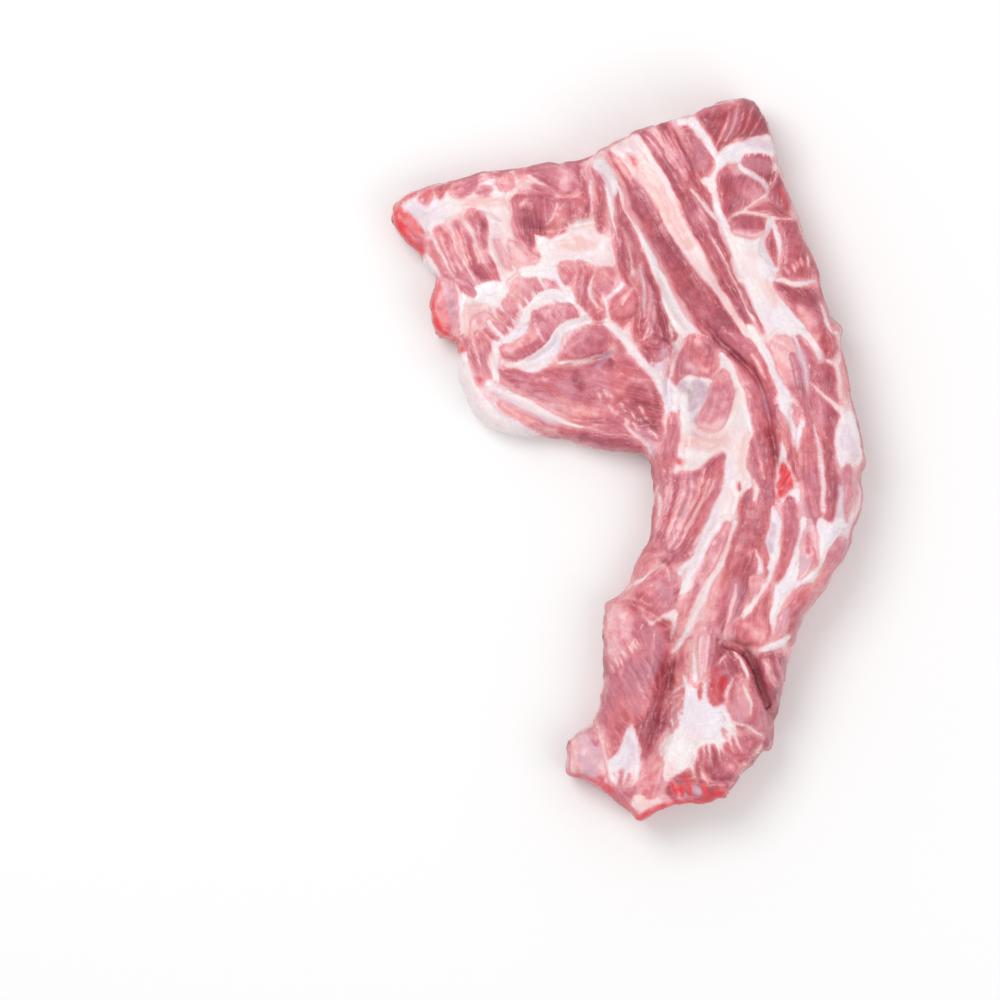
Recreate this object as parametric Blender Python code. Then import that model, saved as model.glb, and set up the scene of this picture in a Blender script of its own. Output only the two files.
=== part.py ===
"""A sawn piece of raw pork backbone with two rib stubs, from the neck end of the loin.

The piece lies on its flat underside at z = 0 with its inner side up. +Y points to its wide
sawn end, -Y to its neck end, and -X to the flap that carries the two ribs. Lengths are in
millimetres and angles in radians; they become metres when a mesh is made.
"""

import math
import random
from typing import NamedTuple

import bmesh
import bpy
import numpy as np
from mathutils import Vector, geometry, noise

MM = 0.001
SEED = 11

# Thickness of the piece
FLAP_HEIGHT = 25.0
CREST_PLACES = [0.0, 0.15, 0.5, 0.75, 1.0]
CREST_HEIGHTS = [43.0, 48.0, 52.0, 46.0, 37.0]
CREST_REACH = 50.0
CREST_POWER = 0.8
WAIST = 0.47
LUMP_SIZE = 38.0
LUMP_HEIGHT = 1.4
GRAIN_SIZE = 11.0
GRAIN_HEIGHT = 0.5

# Underside
HOLLOW_SIZE = 45.0
HOLLOW_DEPTH = 5.0
HOLLOW_THRESHOLD = 0.22
FLAT_SPOT = (20.0, 20.0)
FLAT_SPOT_RADIUS = 24.0

# Mesh
EDGE_SPACING = 4.5
TOP_SPACING = 4.25
BOTTOM_SPACING = 8.5
RIM_INSET = 0.35
RAGGEDNESS = 0.55
SEAM_SPACING = 5.0

# Bones
BONE_GAP = 0.35
BONE_SIDES = 12
VERTEBRA_PITCH = 34.0
VERTEBRA_SWELL = 0.09


class Stretch(NamedTuple):
    """A run of the outline seen from above, and how the edge rounds over along it."""

    points: list
    round_over: float
    squareness: float


class Bulge(NamedTuple):
    """A muscle, a strip of fat or a bone plate that stands up: its line, widths and height."""

    line: list
    widths: list
    height: float


class Groove(NamedTuple):
    """A seam or cleft between muscles: its line, its width and its depth."""

    line: list
    width: float
    depth: float


class Bone(NamedTuple):
    """A bone: its line from a sawn end on, its width and height, and its centre's height."""

    line: list
    width: float
    height: float
    centre: list
    through: bool
    swell: float


# The outline, clockwise from the far right corner
OUTLINE = [
    # right saw cut, along the ribs' sawn stumps
    Stretch([(65, 178.5), (71, 165), (74.5, 150), (78.5, 139), (83.5, 125), (88, 111), (94.5, 95),
             (97, 81), (101, 71), (106.5, 66), (106, 57.5), (111, 31), (114.5, 17.5)], 5.0, 3.0),
    # right side, fat and membrane over the back
    Stretch([(119.5, 1), (116, -10), (117.5, -21), (113, -32.5), (110.5, -42.5), (107.5, -50),
             (97, -66), (89, -76), (84.5, -87.5), (81, -100), (78, -110), (76.5, -120),
             (73, -132.5)], 13.0, 2.0),
    # trimmed corner of the neck end
    Stretch([(71, -144), (64.5, -148.5), (54, -160.5)], 6.0, 2.5),
    # neck end, sawn through
    Stretch([(48, -169), (35, -171.5), (21, -173.5), (11, -177), (4, -181.5), (0, -176), (-9, -168.5),
             (-20, -161.5)], 3.0, 3.5),
    # neck lobe
    Stretch([(-31, -158), (-31.5, -150), (-29.5, -140), (-19, -132), (-14.5, -120), (-12.5, -105),
             (-13, -90)], 8.0, 2.2),
    # left side of the backbone strip
    Stretch([(-12.5, -72.5), (-4, -67.5), (1, -59), (4, -50), (11, -37.5), (12, -22.5), (12, -5)],
            10.0, 2.0),
    # thick fat along the flap's lower edge
    Stretch([(9, 1.5), (2.5, 3), (-12.5, 4), (-22.5, 6), (-35, 10.5), (-50, 12), (-62.5, 13.5),
             (-72.5, 18.5), (-80, 27.5), (-85, 40)], 12.0, 2.0),
    # the two ribs' sawn ends
    Stretch([(-85.5, 50), (-85, 56.5), (-90, 61), (-97, 63), (-100, 72.5), (-100.5, 81.5), (-96.5, 90),
             (-101.5, 97.5), (-106.5, 105), (-115, 112.5), (-118, 119), (-119.5, 126), (-116, 130)],
            5.0, 3.0),
    # top saw cut
    Stretch([(-111, 134.5), (-100, 137.5), (-90, 140), (-80, 143), (-72, 145), (-60, 146), (-50, 148),
             (-30, 150), (-21, 151.5), (-14, 155.5), (-5, 160), (5, 165), (17.5, 169.5), (32.5, 173),
             (42.5, 178), (56, 181)], 3.5, 3.5),
]

# Backbone, from the wide sawn end to the neck end, seen from above
BACKBONE_LINE = [(24, 172), (38, 130), (60, 85), (77, 40), (83, 0), (77, -40), (59, -85), (44, -125),
                 (31, -172)]

BULGES = [
    # flap, upper half
    Bulge([(-108, 128), (-95, 125), (-85, 125), (-65, 128)], [10, 12, 12, 8], 1.6),
    Bulge([(-52, 126), (-42, 124), (-32, 125), (-22, 127)], [16, 17, 14, 12], 3.0),
    Bulge([(-50, 143), (-42, 141), (-34, 138), (-27, 136)], [8, 9, 8, 7], 1.8),
    Bulge([(-95, 114), (-88, 104), (-80, 95)], [14, 15, 11], 1.6),
    Bulge([(-76, 116), (-72, 105), (-68, 95)], [9, 9, 8], 1.4),
    Bulge([(-40, 106), (-24, 106), (-8, 104)], [14, 18, 15], 1.6),
    Bulge([(-58, 108), (-50, 100)], [9, 8], 1.2),
    # flap, lower half
    Bulge([(-63, 84), (-55, 90), (-42, 86), (-36, 86)], [8, 9, 9, 6], 2.2),
    Bulge([(-62, 55), (-54, 55), (-46, 59), (-41, 66), (-38, 72)], [10, 11, 13, 12, 8], 3.0),
    Bulge([(-46, 75), (-34, 76), (-26, 72)], [7, 9, 7], 2.0),
    Bulge([(-30, 55), (-20, 59), (-11, 60)], [11, 16, 13], 3.0),
    Bulge([(-62, 43), (-45, 39), (-20, 38), (-5, 39), (8, 35)], [10, 14, 20, 20, 18], 4.0),
    Bulge([(-30, 15), (-15, 14), (0, 10)], [8, 11, 9], 2.2),
    Bulge([(-85, 54), (-83, 40), (-77, 29), (-67, 21), (-55, 17)], [13, 14, 14, 14, 10], 2.2),
    Bulge([(-83, 74), (-79, 66), (-76, 56)], [10, 11, 8], 1.4),
    Bulge([(-20, 95), (-24, 84), (-20, 77)], [8, 9, 7], 1.8),
    Bulge([(-8, 76), (3, 82)], [10, 12], 2.2),
    # long muscles beside the backbone, wide end
    Bulge([(-11, 153), (-3, 143), (8, 126), (20, 106), (33, 86), (44, 66), (51, 55)],
          [7, 10, 13, 15, 17, 13, 7], 3.4),
    Bulge([(-6, 156), (8, 142), (20, 124), (34, 104), (46, 90), (52, 80)], [10, 13, 12, 9, 5, 3], 2.0),
    Bulge([(6, 163), (17, 150), (28, 132), (34, 112), (42, 97), (54, 77)], [7, 7, 7, 6, 6, 6], 2.4),
    Bulge([(15, 165), (24, 150), (33, 133), (43, 113), (50, 97)], [8, 9, 8, 7, 5], 2.0),
    Bulge([(38, 168), (50, 168), (62, 169), (68, 167)], [14, 20, 18, 12], 2.8),
    Bulge([(46, 150), (44, 135), (48, 115), (58, 98), (66, 82), (80, 68)], [8, 6, 9, 18, 18, 14], 2.2),
    Bulge([(52, 157), (62, 157), (70, 156)], [8, 10, 9], 1.8),
    # muscles between the ribs' stumps
    Bulge([(50, 134), (58, 134), (64, 132)], [14, 18, 13], 2.0),
    Bulge([(53, 117), (60, 117), (66, 118)], [9, 10, 7], 1.5),
    Bulge([(79, 117), (82, 105), (82, 92)], [10, 13, 10], 2.0),
    Bulge([(75, 84), (84, 80), (93, 69)], [7, 13, 10], 1.8),
    Bulge([(97, 62), (98, 54)], [9, 9], 1.8),
    # middle of the strip, each side of the long groove
    Bulge([(52, 62), (60, 51), (68, 37), (74, 20), (77, 6)], [8, 9, 9, 9, 7], 3.0),
    Bulge([(48, 49), (54, 38), (57, 26), (60, 12)], [8, 11, 11, 9], 3.2),
    Bulge([(30, 58), (33, 50), (33, 43)], [13, 18, 16], 3.2),
    Bulge([(45, 42), (46, 33), (43, 24), (37, 14)], [8, 13, 13, 9], 2.0),
    Bulge([(62, 10), (67, -10), (66, -30), (60, -52), (53, -80)], [9, 10, 10, 9, 7], 2.6),
    Bulge([(52, 8), (46, -12), (40, -30), (31, -50), (23, -70)], [12, 15, 12, 8, 6], 2.4),
    Bulge([(57, -18), (52, -40), (47, -60), (40, -82)], [8, 13, 17, 15], 3.2),
    Bulge([(22, 22), (20, 2), (17, -18), (10, -45)], [9, 10, 10, 9], 2.0),
    Bulge([(34, 4), (31, -16), (23, -36), (14, -55)], [10, 11, 10, 9], 2.0),
    Bulge([(87, 16), (90, -4), (91, -26)], [9, 12, 10], 2.2),
    Bulge([(99, 12), (101, -6), (99, -26)], [7, 8, 7], 1.8),
    Bulge([(110, 22), (110, 0), (111, -16)], [9, 10, 9], 1.4),
    Bulge([(70, -24), (70, -40), (68, -54)], [6, 8, 6], 1.6),
    Bulge([(76, -22), (80, -36), (76, -56)], [8, 9, 7], 2.0),
    Bulge([(100, -32), (96, -48), (82, -64)], [11, 12, 9], 1.8),
    Bulge([(107, -46), (93, -65), (82, -80), (77, -94)], [9, 11, 11, 9], 2.0),
    Bulge([(68, -66), (66, -80), (66, -94)], [9, 9, 9], 1.8),
    # neck end
    Bulge([(3, -78), (4, -95), (2, -115), (5, -135)], [24, 28, 28, 18], 4.5),
    Bulge([(30, -115), (34, -128), (29, -140), (18, -155)], [14, 26, 26, 16], 3.6),
    Bulge([(36, -87), (37, -97), (36, -105)], [9, 13, 10], 3.0),
    Bulge([(12, -62), (18, -70)], [9, 11], 2.0),
    Bulge([(-24, -150), (-16, -140), (-10, -128)], [11, 12, 10], 2.2),
    Bulge([(0, -140), (1, -152), (0, -164)], [9, 11, 9], 2.2),
    Bulge([(55, -112), (57, -128)], [9, 10], 2.6),
    Bulge([(71, -104), (73, -120)], [8, 7], 2.0),
    Bulge([(45, -147), (50, -152), (55, -157)], [12, 16, 12], 2.6),
]

GROOVES = [
    # the long dark groove over the backbone
    Groove([(36, 70), (46, 58), (56, 48), (63, 40), (68, 25), (71, 8), (72, -6)], 2.6, 5.0),
    # valley and cleft of the neck end
    Groove([(21, -84), (21, -97), (19, -110), (16, -125), (12, -140), (7, -152)], 8.0, 6.5),
    Groove([(47, -91), (55, -92.5), (60, -98), (63.5, -108), (66.5, -118), (70, -129)], 2.6, 9.0),
    Groove([(44, -96), (49, -105), (47, -118)], 6.0, 3.5),
    # step over the neck lobe
    Groove([(-10, -71), (3, -73), (14, -79), (21, -86)], 2.4, 3.0),
    # seam between the flap and the strip
    Groove([(-15, 145), (-9, 130), (-4, 110), (-3, 96), (4, 84), (5, 72), (4, 60)], 2.4, 2.6),
    Groove([(4, 60), (14, 56), (19, 60), (22, 52), (19, 36), (21, 26)], 2.4, 2.6),
    Groove([(-4, 138), (3, 119), (10, 102), (18, 78), (28, 62)], 2.4, 2.4),
    # seams of the flap
    Groove([(-36, 63), (-38, 57), (-44, 53), (-52, 47)], 2.4, 2.8),
    Groove([(-35, 64), (-28, 68), (-18, 70)], 2.4, 2.6),
    Groove([(-35, 47), (-25, 48), (-12, 52)], 2.4, 2.8),
    Groove([(-37, 24), (-27, 20), (-14, 20)], 2.4, 2.6),
    Groove([(-61, 132), (-59, 122), (-56, 112), (-50, 102)], 2.4, 2.0),
    Groove([(-50, 116), (-38, 115), (-28, 118), (-17, 119)], 2.4, 2.4),
    Groove([(-52, 136), (-42, 134), (-33, 131), (-24, 134)], 2.4, 1.8),
    Groove([(-68, 76), (-62, 70), (-52, 66), (-48, 72)], 2.4, 2.2),
    Groove([(-72, 60), (-69, 48), (-62, 36)], 2.4, 2.2),
    # seams of the strip
    Groove([(30, 136), (41, 121), (50, 97), (60, 72)], 2.4, 2.0),
    Groove([(58, -6), (53, -28), (43, -54), (30, -78)], 2.4, 2.6),
    Groove([(38, 6), (36, -20), (24, -44), (8, -62)], 2.4, 2.0),
    Groove([(80, 24), (80, 0), (72, -16)], 2.4, 2.0),
]

BONES = {
    "backbone": Bone([(19, 188), *BACKBONE_LINE[1:-1], (27, -188)], 30.0, 24.0,
                     [20.0, 23.0, 26.0, 21.0, 18.5], True, VERTEBRA_SWELL),
    "rib_upper": Bone([(-124, 104), (-108, 113), (-88, 120), (-60, 122), (-30, 121), (12, 124)],
                      23.0, 10.5, [12.5], False, 0.0),
    "rib_lower": Bone([(-114, 71), (-99, 74.5), (-78, 80), (-50, 86), (-15, 89), (33, 88)],
                      21.0, 10.0, [12.5], False, 0.0),
}

MEAT_COLOUR = (0.56, 0.19, 0.22, 1.0)
BONE_COLOUR = (0.80, 0.55, 0.52, 1.0)


def spline(points: list, spacing: float) -> np.ndarray:
    """Evenly spaced points of a smooth curve through the given ones, both ends included."""
    knots = np.array(points, dtype=float)
    knots = np.vstack([2 * knots[0] - knots[1], knots, 2 * knots[-1] - knots[-2]])
    fine = []
    for before, start, end, after in zip(knots[:-3], knots[1:-2], knots[2:-1], knots[3:]):
        for step in np.linspace(0.0, 1.0, 12, endpoint=False):
            fine.append(0.5 * (2 * start + (end - before) * step
                               + (2 * before - 5 * start + 4 * end - after) * step ** 2
                               + (3 * start - before - 3 * end + after) * step ** 3))
    fine.append(knots[-2])
    fine = np.array(fine)
    travelled = np.concatenate([[0.0], np.cumsum(np.linalg.norm(np.diff(fine, axis=0), axis=1))])
    count = max(2, round(travelled[-1] / spacing) + 1)
    stops = np.linspace(0.0, travelled[-1], count)
    return np.column_stack([np.interp(stops, travelled, fine[:, axis]) for axis in range(knots.shape[1])])


def nearest_on(points: np.ndarray, path: np.ndarray) -> tuple:
    """The distance from each point to a path, and the place of its nearest spot in index units."""
    starts = path[:-1]
    runs = path[1:] - starts
    offsets = points[:, None, :] - starts[None, :, :]
    along = np.clip((offsets * runs).sum(axis=2) / (runs ** 2).sum(axis=1), 0.0, 1.0)
    gaps = np.linalg.norm(offsets - along[:, :, None] * runs, axis=2)
    nearest = gaps.argmin(axis=1)
    rows = np.arange(len(points))
    return gaps[rows, nearest], nearest + along[rows, nearest]


def lumps(points: np.ndarray, size: float, layer: float) -> np.ndarray:
    """Smooth noise between about -1 and 1 over the plan, in lumps of the given size."""
    return np.array([noise.noise(Vector((x / size, y / size, layer))) for x, y in points])


def trace_outline() -> tuple:
    """The outline's points, counter-clockwise, with the rounding and squareness at each."""
    draw = random.Random(SEED)
    points, rounds, squares = [], [], []
    for index, stretch in enumerate(OUTLINE):
        following = OUTLINE[(index + 1) % len(OUTLINE)].points[0]
        run = spline(stretch.points + [following], EDGE_SPACING)[:-1]
        points.extend(run)
        rounds.extend([stretch.round_over] * len(run))
        squares.extend([stretch.squareness] * len(run))
    points = np.array(points)[::-1]
    ragged = np.array([[draw.uniform(-1, 1), draw.uniform(-1, 1)] for _ in points])
    rounds = np.array(rounds)[::-1]
    squares = np.array(squares)[::-1]
    for _ in range(3):
        rounds = (np.roll(rounds, 1) + 2 * rounds + np.roll(rounds, -1)) / 4
        squares = (np.roll(squares, 1) + 2 * squares + np.roll(squares, -1)) / 4
    points = points + RAGGEDNESS * ragged
    return points - (points.min(axis=0) + points.max(axis=0)) / 2, rounds, squares


def inset(points: np.ndarray, distances: np.ndarray) -> np.ndarray:
    """A counter-clockwise loop moved inward by a distance at each point."""
    runs = np.roll(points, -1, axis=0) - np.roll(points, 1, axis=0)
    for _ in range(2):
        runs = np.roll(runs, 1, axis=0) + 2 * runs + np.roll(runs, -1, axis=0)
    inward = np.column_stack([-runs[:, 1], runs[:, 0]]) / np.linalg.norm(runs, axis=1)[:, None]
    return points + inward * distances[:, None]


class Form:
    """The height of the piece over its plan."""

    def __init__(self) -> None:
        self.outline, self.rounds, self.squares = trace_outline()
        self.closed = np.vstack([self.outline, self.outline[:1]])
        self.backbone = spline(BACKBONE_LINE, 6.0)
        self.bulges = [(spline(bulge.line, 4.0), bulge) for bulge in BULGES]
        self.grooves = [(spline(groove.line, SEAM_SPACING), groove) for groove in GROOVES]

    def thickness(self, points: np.ndarray) -> np.ndarray:
        """The height of the loaf over the backbone and of the flap, without its muscles."""
        distance, place = nearest_on(points, self.backbone)
        crest = np.interp(place / (len(self.backbone) - 1), CREST_PLACES, CREST_HEIGHTS)
        loaf = np.clip(1.0 - (distance / CREST_REACH) ** 2, 0.0, 1.0) ** CREST_POWER
        return FLAP_HEIGHT + (crest - FLAP_HEIGHT) * loaf + LUMP_HEIGHT * lumps(points, LUMP_SIZE, 0.0)

    def muscles(self, points: np.ndarray) -> np.ndarray:
        """The relief of muscles, fat strips and seams."""
        raised = np.zeros(len(points))
        for line, bulge in self.bulges:
            distance, place = nearest_on(points, line)
            stops = np.linspace(0.0, 1.0, len(bulge.widths))
            half = np.interp(place / (len(line) - 1), stops, bulge.widths) / 2 + 1.0
            dome = np.sqrt(np.clip(1.0 - (distance / half) ** 2, 0.0, 1.0))
            raised = np.maximum(raised, bulge.height * dome)
        for line, groove in self.grooves:
            distance, place = nearest_on(points, line)
            ends = np.clip(np.minimum(place, len(line) - 1 - place) + 0.4, 0.0, 1.0)
            raised -= groove.depth * ends * np.clip(1.0 - distance / groove.width, 0.0, 1.0)
        return raised + GRAIN_HEIGHT * lumps(points, GRAIN_SIZE, 5.0)

    def edge_share(self, points: np.ndarray) -> np.ndarray:
        """How far the rounded edge has risen above each point, from 0 at the outline to 1."""
        distance, place = nearest_on(points, self.closed)
        index = np.floor(place).astype(int) % len(self.outline)
        drop = 1.0 - np.clip(distance / self.rounds[index], 0.0, 1.0)
        power = self.squares[index]
        return (1.0 - drop ** power) ** (1.0 / power)

    def waist(self, points: np.ndarray) -> np.ndarray:
        """The height at which the sides stand out furthest."""
        return WAIST * self.thickness(points)

    def top(self, points: np.ndarray) -> np.ndarray:
        """The height of the upper surface."""
        middle = self.waist(points)
        full = self.thickness(points) + self.muscles(points)
        return middle + (full - middle) * self.edge_share(points)

    def underside(self, points: np.ndarray) -> np.ndarray:
        """The height of the lower surface: flat on what it lies on, with shallow hollows."""
        middle = self.waist(points)
        spot = np.linalg.norm(points - np.array(FLAT_SPOT), axis=1)
        hollow = HOLLOW_DEPTH * np.clip(lumps(points, HOLLOW_SIZE, 9.0) - HOLLOW_THRESHOLD, 0.0, 1.0)
        hollow = hollow * np.clip((spot - FLAT_SPOT_RADIUS) / FLAT_SPOT_RADIUS, 0.0, 1.0)
        return middle - (middle - hollow) * self.edge_share(points)


def inside(points: np.ndarray, loop: np.ndarray) -> np.ndarray:
    """Which points lie inside a closed loop."""
    x, y = points[:, None, 0], points[:, None, 1]
    x0, y0 = loop[:, 0], loop[:, 1]
    x1, y1 = np.roll(x0, -1), np.roll(y0, -1)
    crosses = (y0 > y) != (y1 > y)
    reach = x0 + (y - y0) * (x1 - x0) / np.where(y1 == y0, 1.0, y1 - y0)
    return (crosses & (x < reach)).sum(axis=1) % 2 == 1


def keep_clear(points: np.ndarray, others: np.ndarray, gap: float) -> np.ndarray:
    """The points that are at least a gap away from all the others."""
    distance = np.linalg.norm(points[:, None, :] - others[None, :, :], axis=2).min(axis=1)
    return points[distance > gap]


def fill_points(rim: np.ndarray, spacing: float, seams: list) -> np.ndarray:
    """Points inside a rim: rows along each seam, and a staggered grid over the rest."""
    placed = rim
    for line, width in seams:
        runs = np.gradient(line, axis=0)
        across = np.column_stack([-runs[:, 1], runs[:, 0]]) / np.linalg.norm(runs, axis=1)[:, None]
        for offset in (0.0, width, -width):
            row = line + across * offset
            row = keep_clear(row[inside(row, rim)], placed, 1.9)
            placed = np.vstack([placed, row])
    low, high = rim.min(axis=0), rim.max(axis=0)
    rows = []
    for index, y in enumerate(np.arange(low[1], high[1], spacing * math.sqrt(3) / 2)):
        for x in np.arange(low[0] + (index % 2) * spacing / 2, high[0], spacing):
            rows.append((x, y))
    grid = np.array(rows)
    grid = keep_clear(grid[inside(grid, rim)], placed, spacing * 0.62)
    return np.vstack([placed[len(rim):], grid])


def triangulate(rim: np.ndarray, fill: np.ndarray) -> list:
    """Triangles over a rim and the points inside it, as indices into both in that order."""
    corners = [Vector(point) for point in np.vstack([rim, fill])]
    loop = [(index, (index + 1) % len(rim)) for index in range(len(rim))]
    _, _, faces, origins, _, _ = geometry.delaunay_2d_cdt(corners, loop, [], 1, 1e-5)
    return [[origins[corner][0] for corner in face] for face in faces]


def add_object(name: str, points: list, faces: list, colour: tuple, roughness: float) -> bpy.types.Object:
    """A mesh object in metres with its own material."""
    mesh = bpy.data.meshes.new(name)
    mesh.from_pydata([tuple(coordinate * MM for coordinate in point) for point in points], [], faces)
    edit = bmesh.new()
    edit.from_mesh(mesh)
    bmesh.ops.recalc_face_normals(edit, faces=edit.faces)
    bmesh.ops.triangulate(edit, faces=edit.faces)
    edit.to_mesh(mesh)
    edit.free()
    mesh.shade_smooth()
    material = bpy.data.materials.new(name)
    material.use_nodes = True
    shader = material.node_tree.nodes["Principled BSDF"]
    shader.inputs["Base Color"].default_value = colour
    shader.inputs["Roughness"].default_value = roughness
    mesh.materials.append(material)
    piece = bpy.data.objects.new(name, mesh)
    bpy.context.scene.collection.objects.link(piece)
    return piece


def make_meat(name: str) -> bpy.types.Object:
    """The meat without its bones' tunnels: an upper surface, a rounded side and an underside."""
    form = Form()
    rim = inset(form.outline, RIM_INSET * form.rounds)
    seams = [(line, groove.width) for line, groove in form.grooves]
    over = fill_points(rim, TOP_SPACING, seams)
    under = fill_points(rim, BOTTOM_SPACING, [])
    count = len(rim)

    heights = [form.top(rim), form.waist(form.outline), form.underside(rim), form.top(over),
               form.underside(under)]
    plans = [rim, form.outline, rim, over, under]
    points = np.vstack([np.column_stack([plan, height]) for plan, height in zip(plans, heights)])

    faces = []
    for index in range(count):
        following = (index + 1) % count
        for ring in (0, count):
            faces.append((ring + index, ring + following, ring + count + following, ring + count + index))
    first_over = 3 * count
    first_under = first_over + len(over)
    for face in triangulate(rim, over):
        faces.append([corner if corner < count else corner - count + first_over for corner in face])
    for face in triangulate(rim, under):
        faces.append([corner + 2 * count if corner < count else corner - count + first_under
                      for corner in reversed(face)])
    return add_object(name, points, faces, MEAT_COLOUR, 0.4)


def make_tube(name: str, bone: Bone, clearance: float) -> bpy.types.Object:
    """A closed oval tube along a bone's line, larger all round by a clearance."""
    line = spline(bone.line, VERTEBRA_PITCH / 3 if bone.swell else 14.0)
    travelled = np.concatenate([[0.0], np.cumsum(np.linalg.norm(np.diff(line, axis=0), axis=1))])
    centres = np.interp(travelled / travelled[-1], np.linspace(0.0, 1.0, len(bone.centre)), bone.centre)
    runs = np.gradient(line, axis=0)
    across = np.column_stack([-runs[:, 1], runs[:, 0]]) / np.linalg.norm(runs, axis=1)[:, None]
    if not bone.through:
        line[-1] = line[-1] + runs[-1] / np.linalg.norm(runs[-1]) * clearance
    rings = []
    for place, side, height, distance in zip(line, across, centres, travelled):
        swell = 1.0 + bone.swell * math.cos(2 * math.pi * distance / VERTEBRA_PITCH)
        half_width = bone.width / 2 * swell + clearance
        half_height = bone.height / 2 * swell + clearance
        for index in range(BONE_SIDES):
            angle = 2 * math.pi * index / BONE_SIDES
            plan = place + side * half_width * math.cos(angle)
            rings.append((plan[0], plan[1], height + half_height * math.sin(angle)))
    faces = [list(range(BONE_SIDES)), list(range(len(rings) - BONE_SIDES, len(rings)))]
    for ring in range(0, len(rings) - BONE_SIDES, BONE_SIDES):
        for index in range(BONE_SIDES):
            following = (index + 1) % BONE_SIDES
            faces.append((ring + index, ring + following, ring + BONE_SIDES + following,
                          ring + BONE_SIDES + index))
    return add_object(name, rings, faces, BONE_COLOUR, 0.5)


def as_guide(piece: bpy.types.Object) -> bpy.types.Object:
    """Mark a piece as a cutter, which isn't part of the model."""
    piece.hide_render = True
    piece.display_type = "WIRE"
    return piece


def add_boolean(piece: bpy.types.Object, other: bpy.types.Object, operation: str) -> None:
    """A Boolean of a piece with a cutter."""
    boolean = piece.modifiers.new(other.name, "BOOLEAN")
    boolean.operation = operation
    boolean.solver = "EXACT"
    boolean.object = other


def main() -> None:
    """Build the meat and its three bones."""
    for old in list(bpy.data.objects):
        bpy.data.objects.remove(old, do_unlink=True)
    meat = make_meat("meat")
    whole = as_guide(make_meat("whole_form"))
    for name, bone in BONES.items():
        tunnel = as_guide(make_tube(f"{name}_tunnel", bone, BONE_GAP))
        add_boolean(meat, tunnel, "DIFFERENCE")
        add_boolean(make_tube(name, bone, 0.0), whole, "INTERSECT")


main()
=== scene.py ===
"""A raw pork backbone and rib piece, laid flat: its muscles, fat, membranes and sawn bones.

The meat is dressed in three steps. Its solid is refined into a fine skin, strands
of muscle, fat and gristle are laid on that skin as signed distances, and one material turns
them into feathered fibres, marbling and wet film. Lengths are in millimetres up to the meshes,
which are in metres. +Y points to the wide sawn end and -X to the flap that carries the ribs.
"""

import logging
import random
from dataclasses import dataclass, field, replace
from enum import Enum

import bmesh
import bpy
import numpy as np
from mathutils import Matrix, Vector, noise


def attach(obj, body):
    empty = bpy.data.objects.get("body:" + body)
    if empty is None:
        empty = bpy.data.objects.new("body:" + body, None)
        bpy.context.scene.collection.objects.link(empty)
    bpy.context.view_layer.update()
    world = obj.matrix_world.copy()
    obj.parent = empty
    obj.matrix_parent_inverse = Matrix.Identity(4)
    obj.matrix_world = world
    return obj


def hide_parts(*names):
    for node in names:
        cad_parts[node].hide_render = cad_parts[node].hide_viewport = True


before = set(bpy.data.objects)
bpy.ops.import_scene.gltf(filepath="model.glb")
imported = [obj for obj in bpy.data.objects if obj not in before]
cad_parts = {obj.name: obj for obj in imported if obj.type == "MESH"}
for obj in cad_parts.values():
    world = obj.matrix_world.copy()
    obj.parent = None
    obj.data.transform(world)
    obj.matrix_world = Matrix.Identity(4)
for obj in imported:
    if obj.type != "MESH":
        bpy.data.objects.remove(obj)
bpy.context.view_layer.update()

LOG = logging.getLogger("meat")
MM = 0.001
Socket = bpy.types.NodeSocket


class Tissue(Enum):
    """What a strand laid on the surface is made of."""

    MUSCLE = "muscle"
    FAT = "fat"
    VEIL = "veil"
    GRISTLE = "gristle"
    BLOOD = "blood"
    TINT = "tint"
    CLEFT = "cleft"


class Side(Enum):
    """Which part of the skin a pattern of its own belongs to."""

    BELLY = "belly"
    SAWN = "sawn"
    UNDER = "under"


class Fringe(Enum):
    """How far a muscle's fibres stray past its edge."""

    STRAND = 0.5
    PATCH = 0.42
    TEASED = 1.2


@dataclass(frozen=True)
class Strand:
    """One run of tissue: its line and widths in millimetres, and its tone or strength.

    With no widths the line is an outline, and the fibres head some degrees from +X.
    """

    tissue: Tissue
    tone: float
    widths: tuple
    line: tuple
    heading: float = 0.0
    teased: bool = False
    wraps: bool = False

    @property
    def outlined(self) -> bool:
        """Whether the line is an outline."""
        return not self.widths

    @property
    def fringe(self) -> Fringe:
        """How its edge frays, where it is muscle."""
        if self.teased:
            return Fringe.TEASED
        return Fringe.PATCH if self.outlined else Fringe.STRAND


def tapered(widths: tuple | float) -> tuple:
    """The widths along a strand. One number is the middle of a spindle."""
    return widths if isinstance(widths, tuple) else (0.6 * widths, widths, 0.6 * widths)


def muscle(tone: float, widths: tuple | float, *line: tuple) -> Strand:
    """A muscle, from -1 for pale pink to 1 for dark purple red."""
    return Strand(Tissue.MUSCLE, tone, tapered(widths), line)


def patch(tone: float, heading: float, *outline: tuple) -> Strand:
    """A muscle with an outline of its own, its fibres heading some degrees from +X."""
    return Strand(Tissue.MUSCLE, tone, (), outline, heading=heading)


def plate(warmth: float, *outline: tuple) -> Strand:
    """Fat or tendon with an outline of its own."""
    return Strand(Tissue.FAT, warmth, (), outline)


def teased(strand: Strand) -> Strand:
    """The same strand, its fibres frayed out into the fat around it."""
    return replace(strand, teased=True)


def wrapped(strand: Strand) -> Strand:
    """The same strand, carried over the edge and down the wall."""
    return replace(strand, wraps=True)


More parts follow.
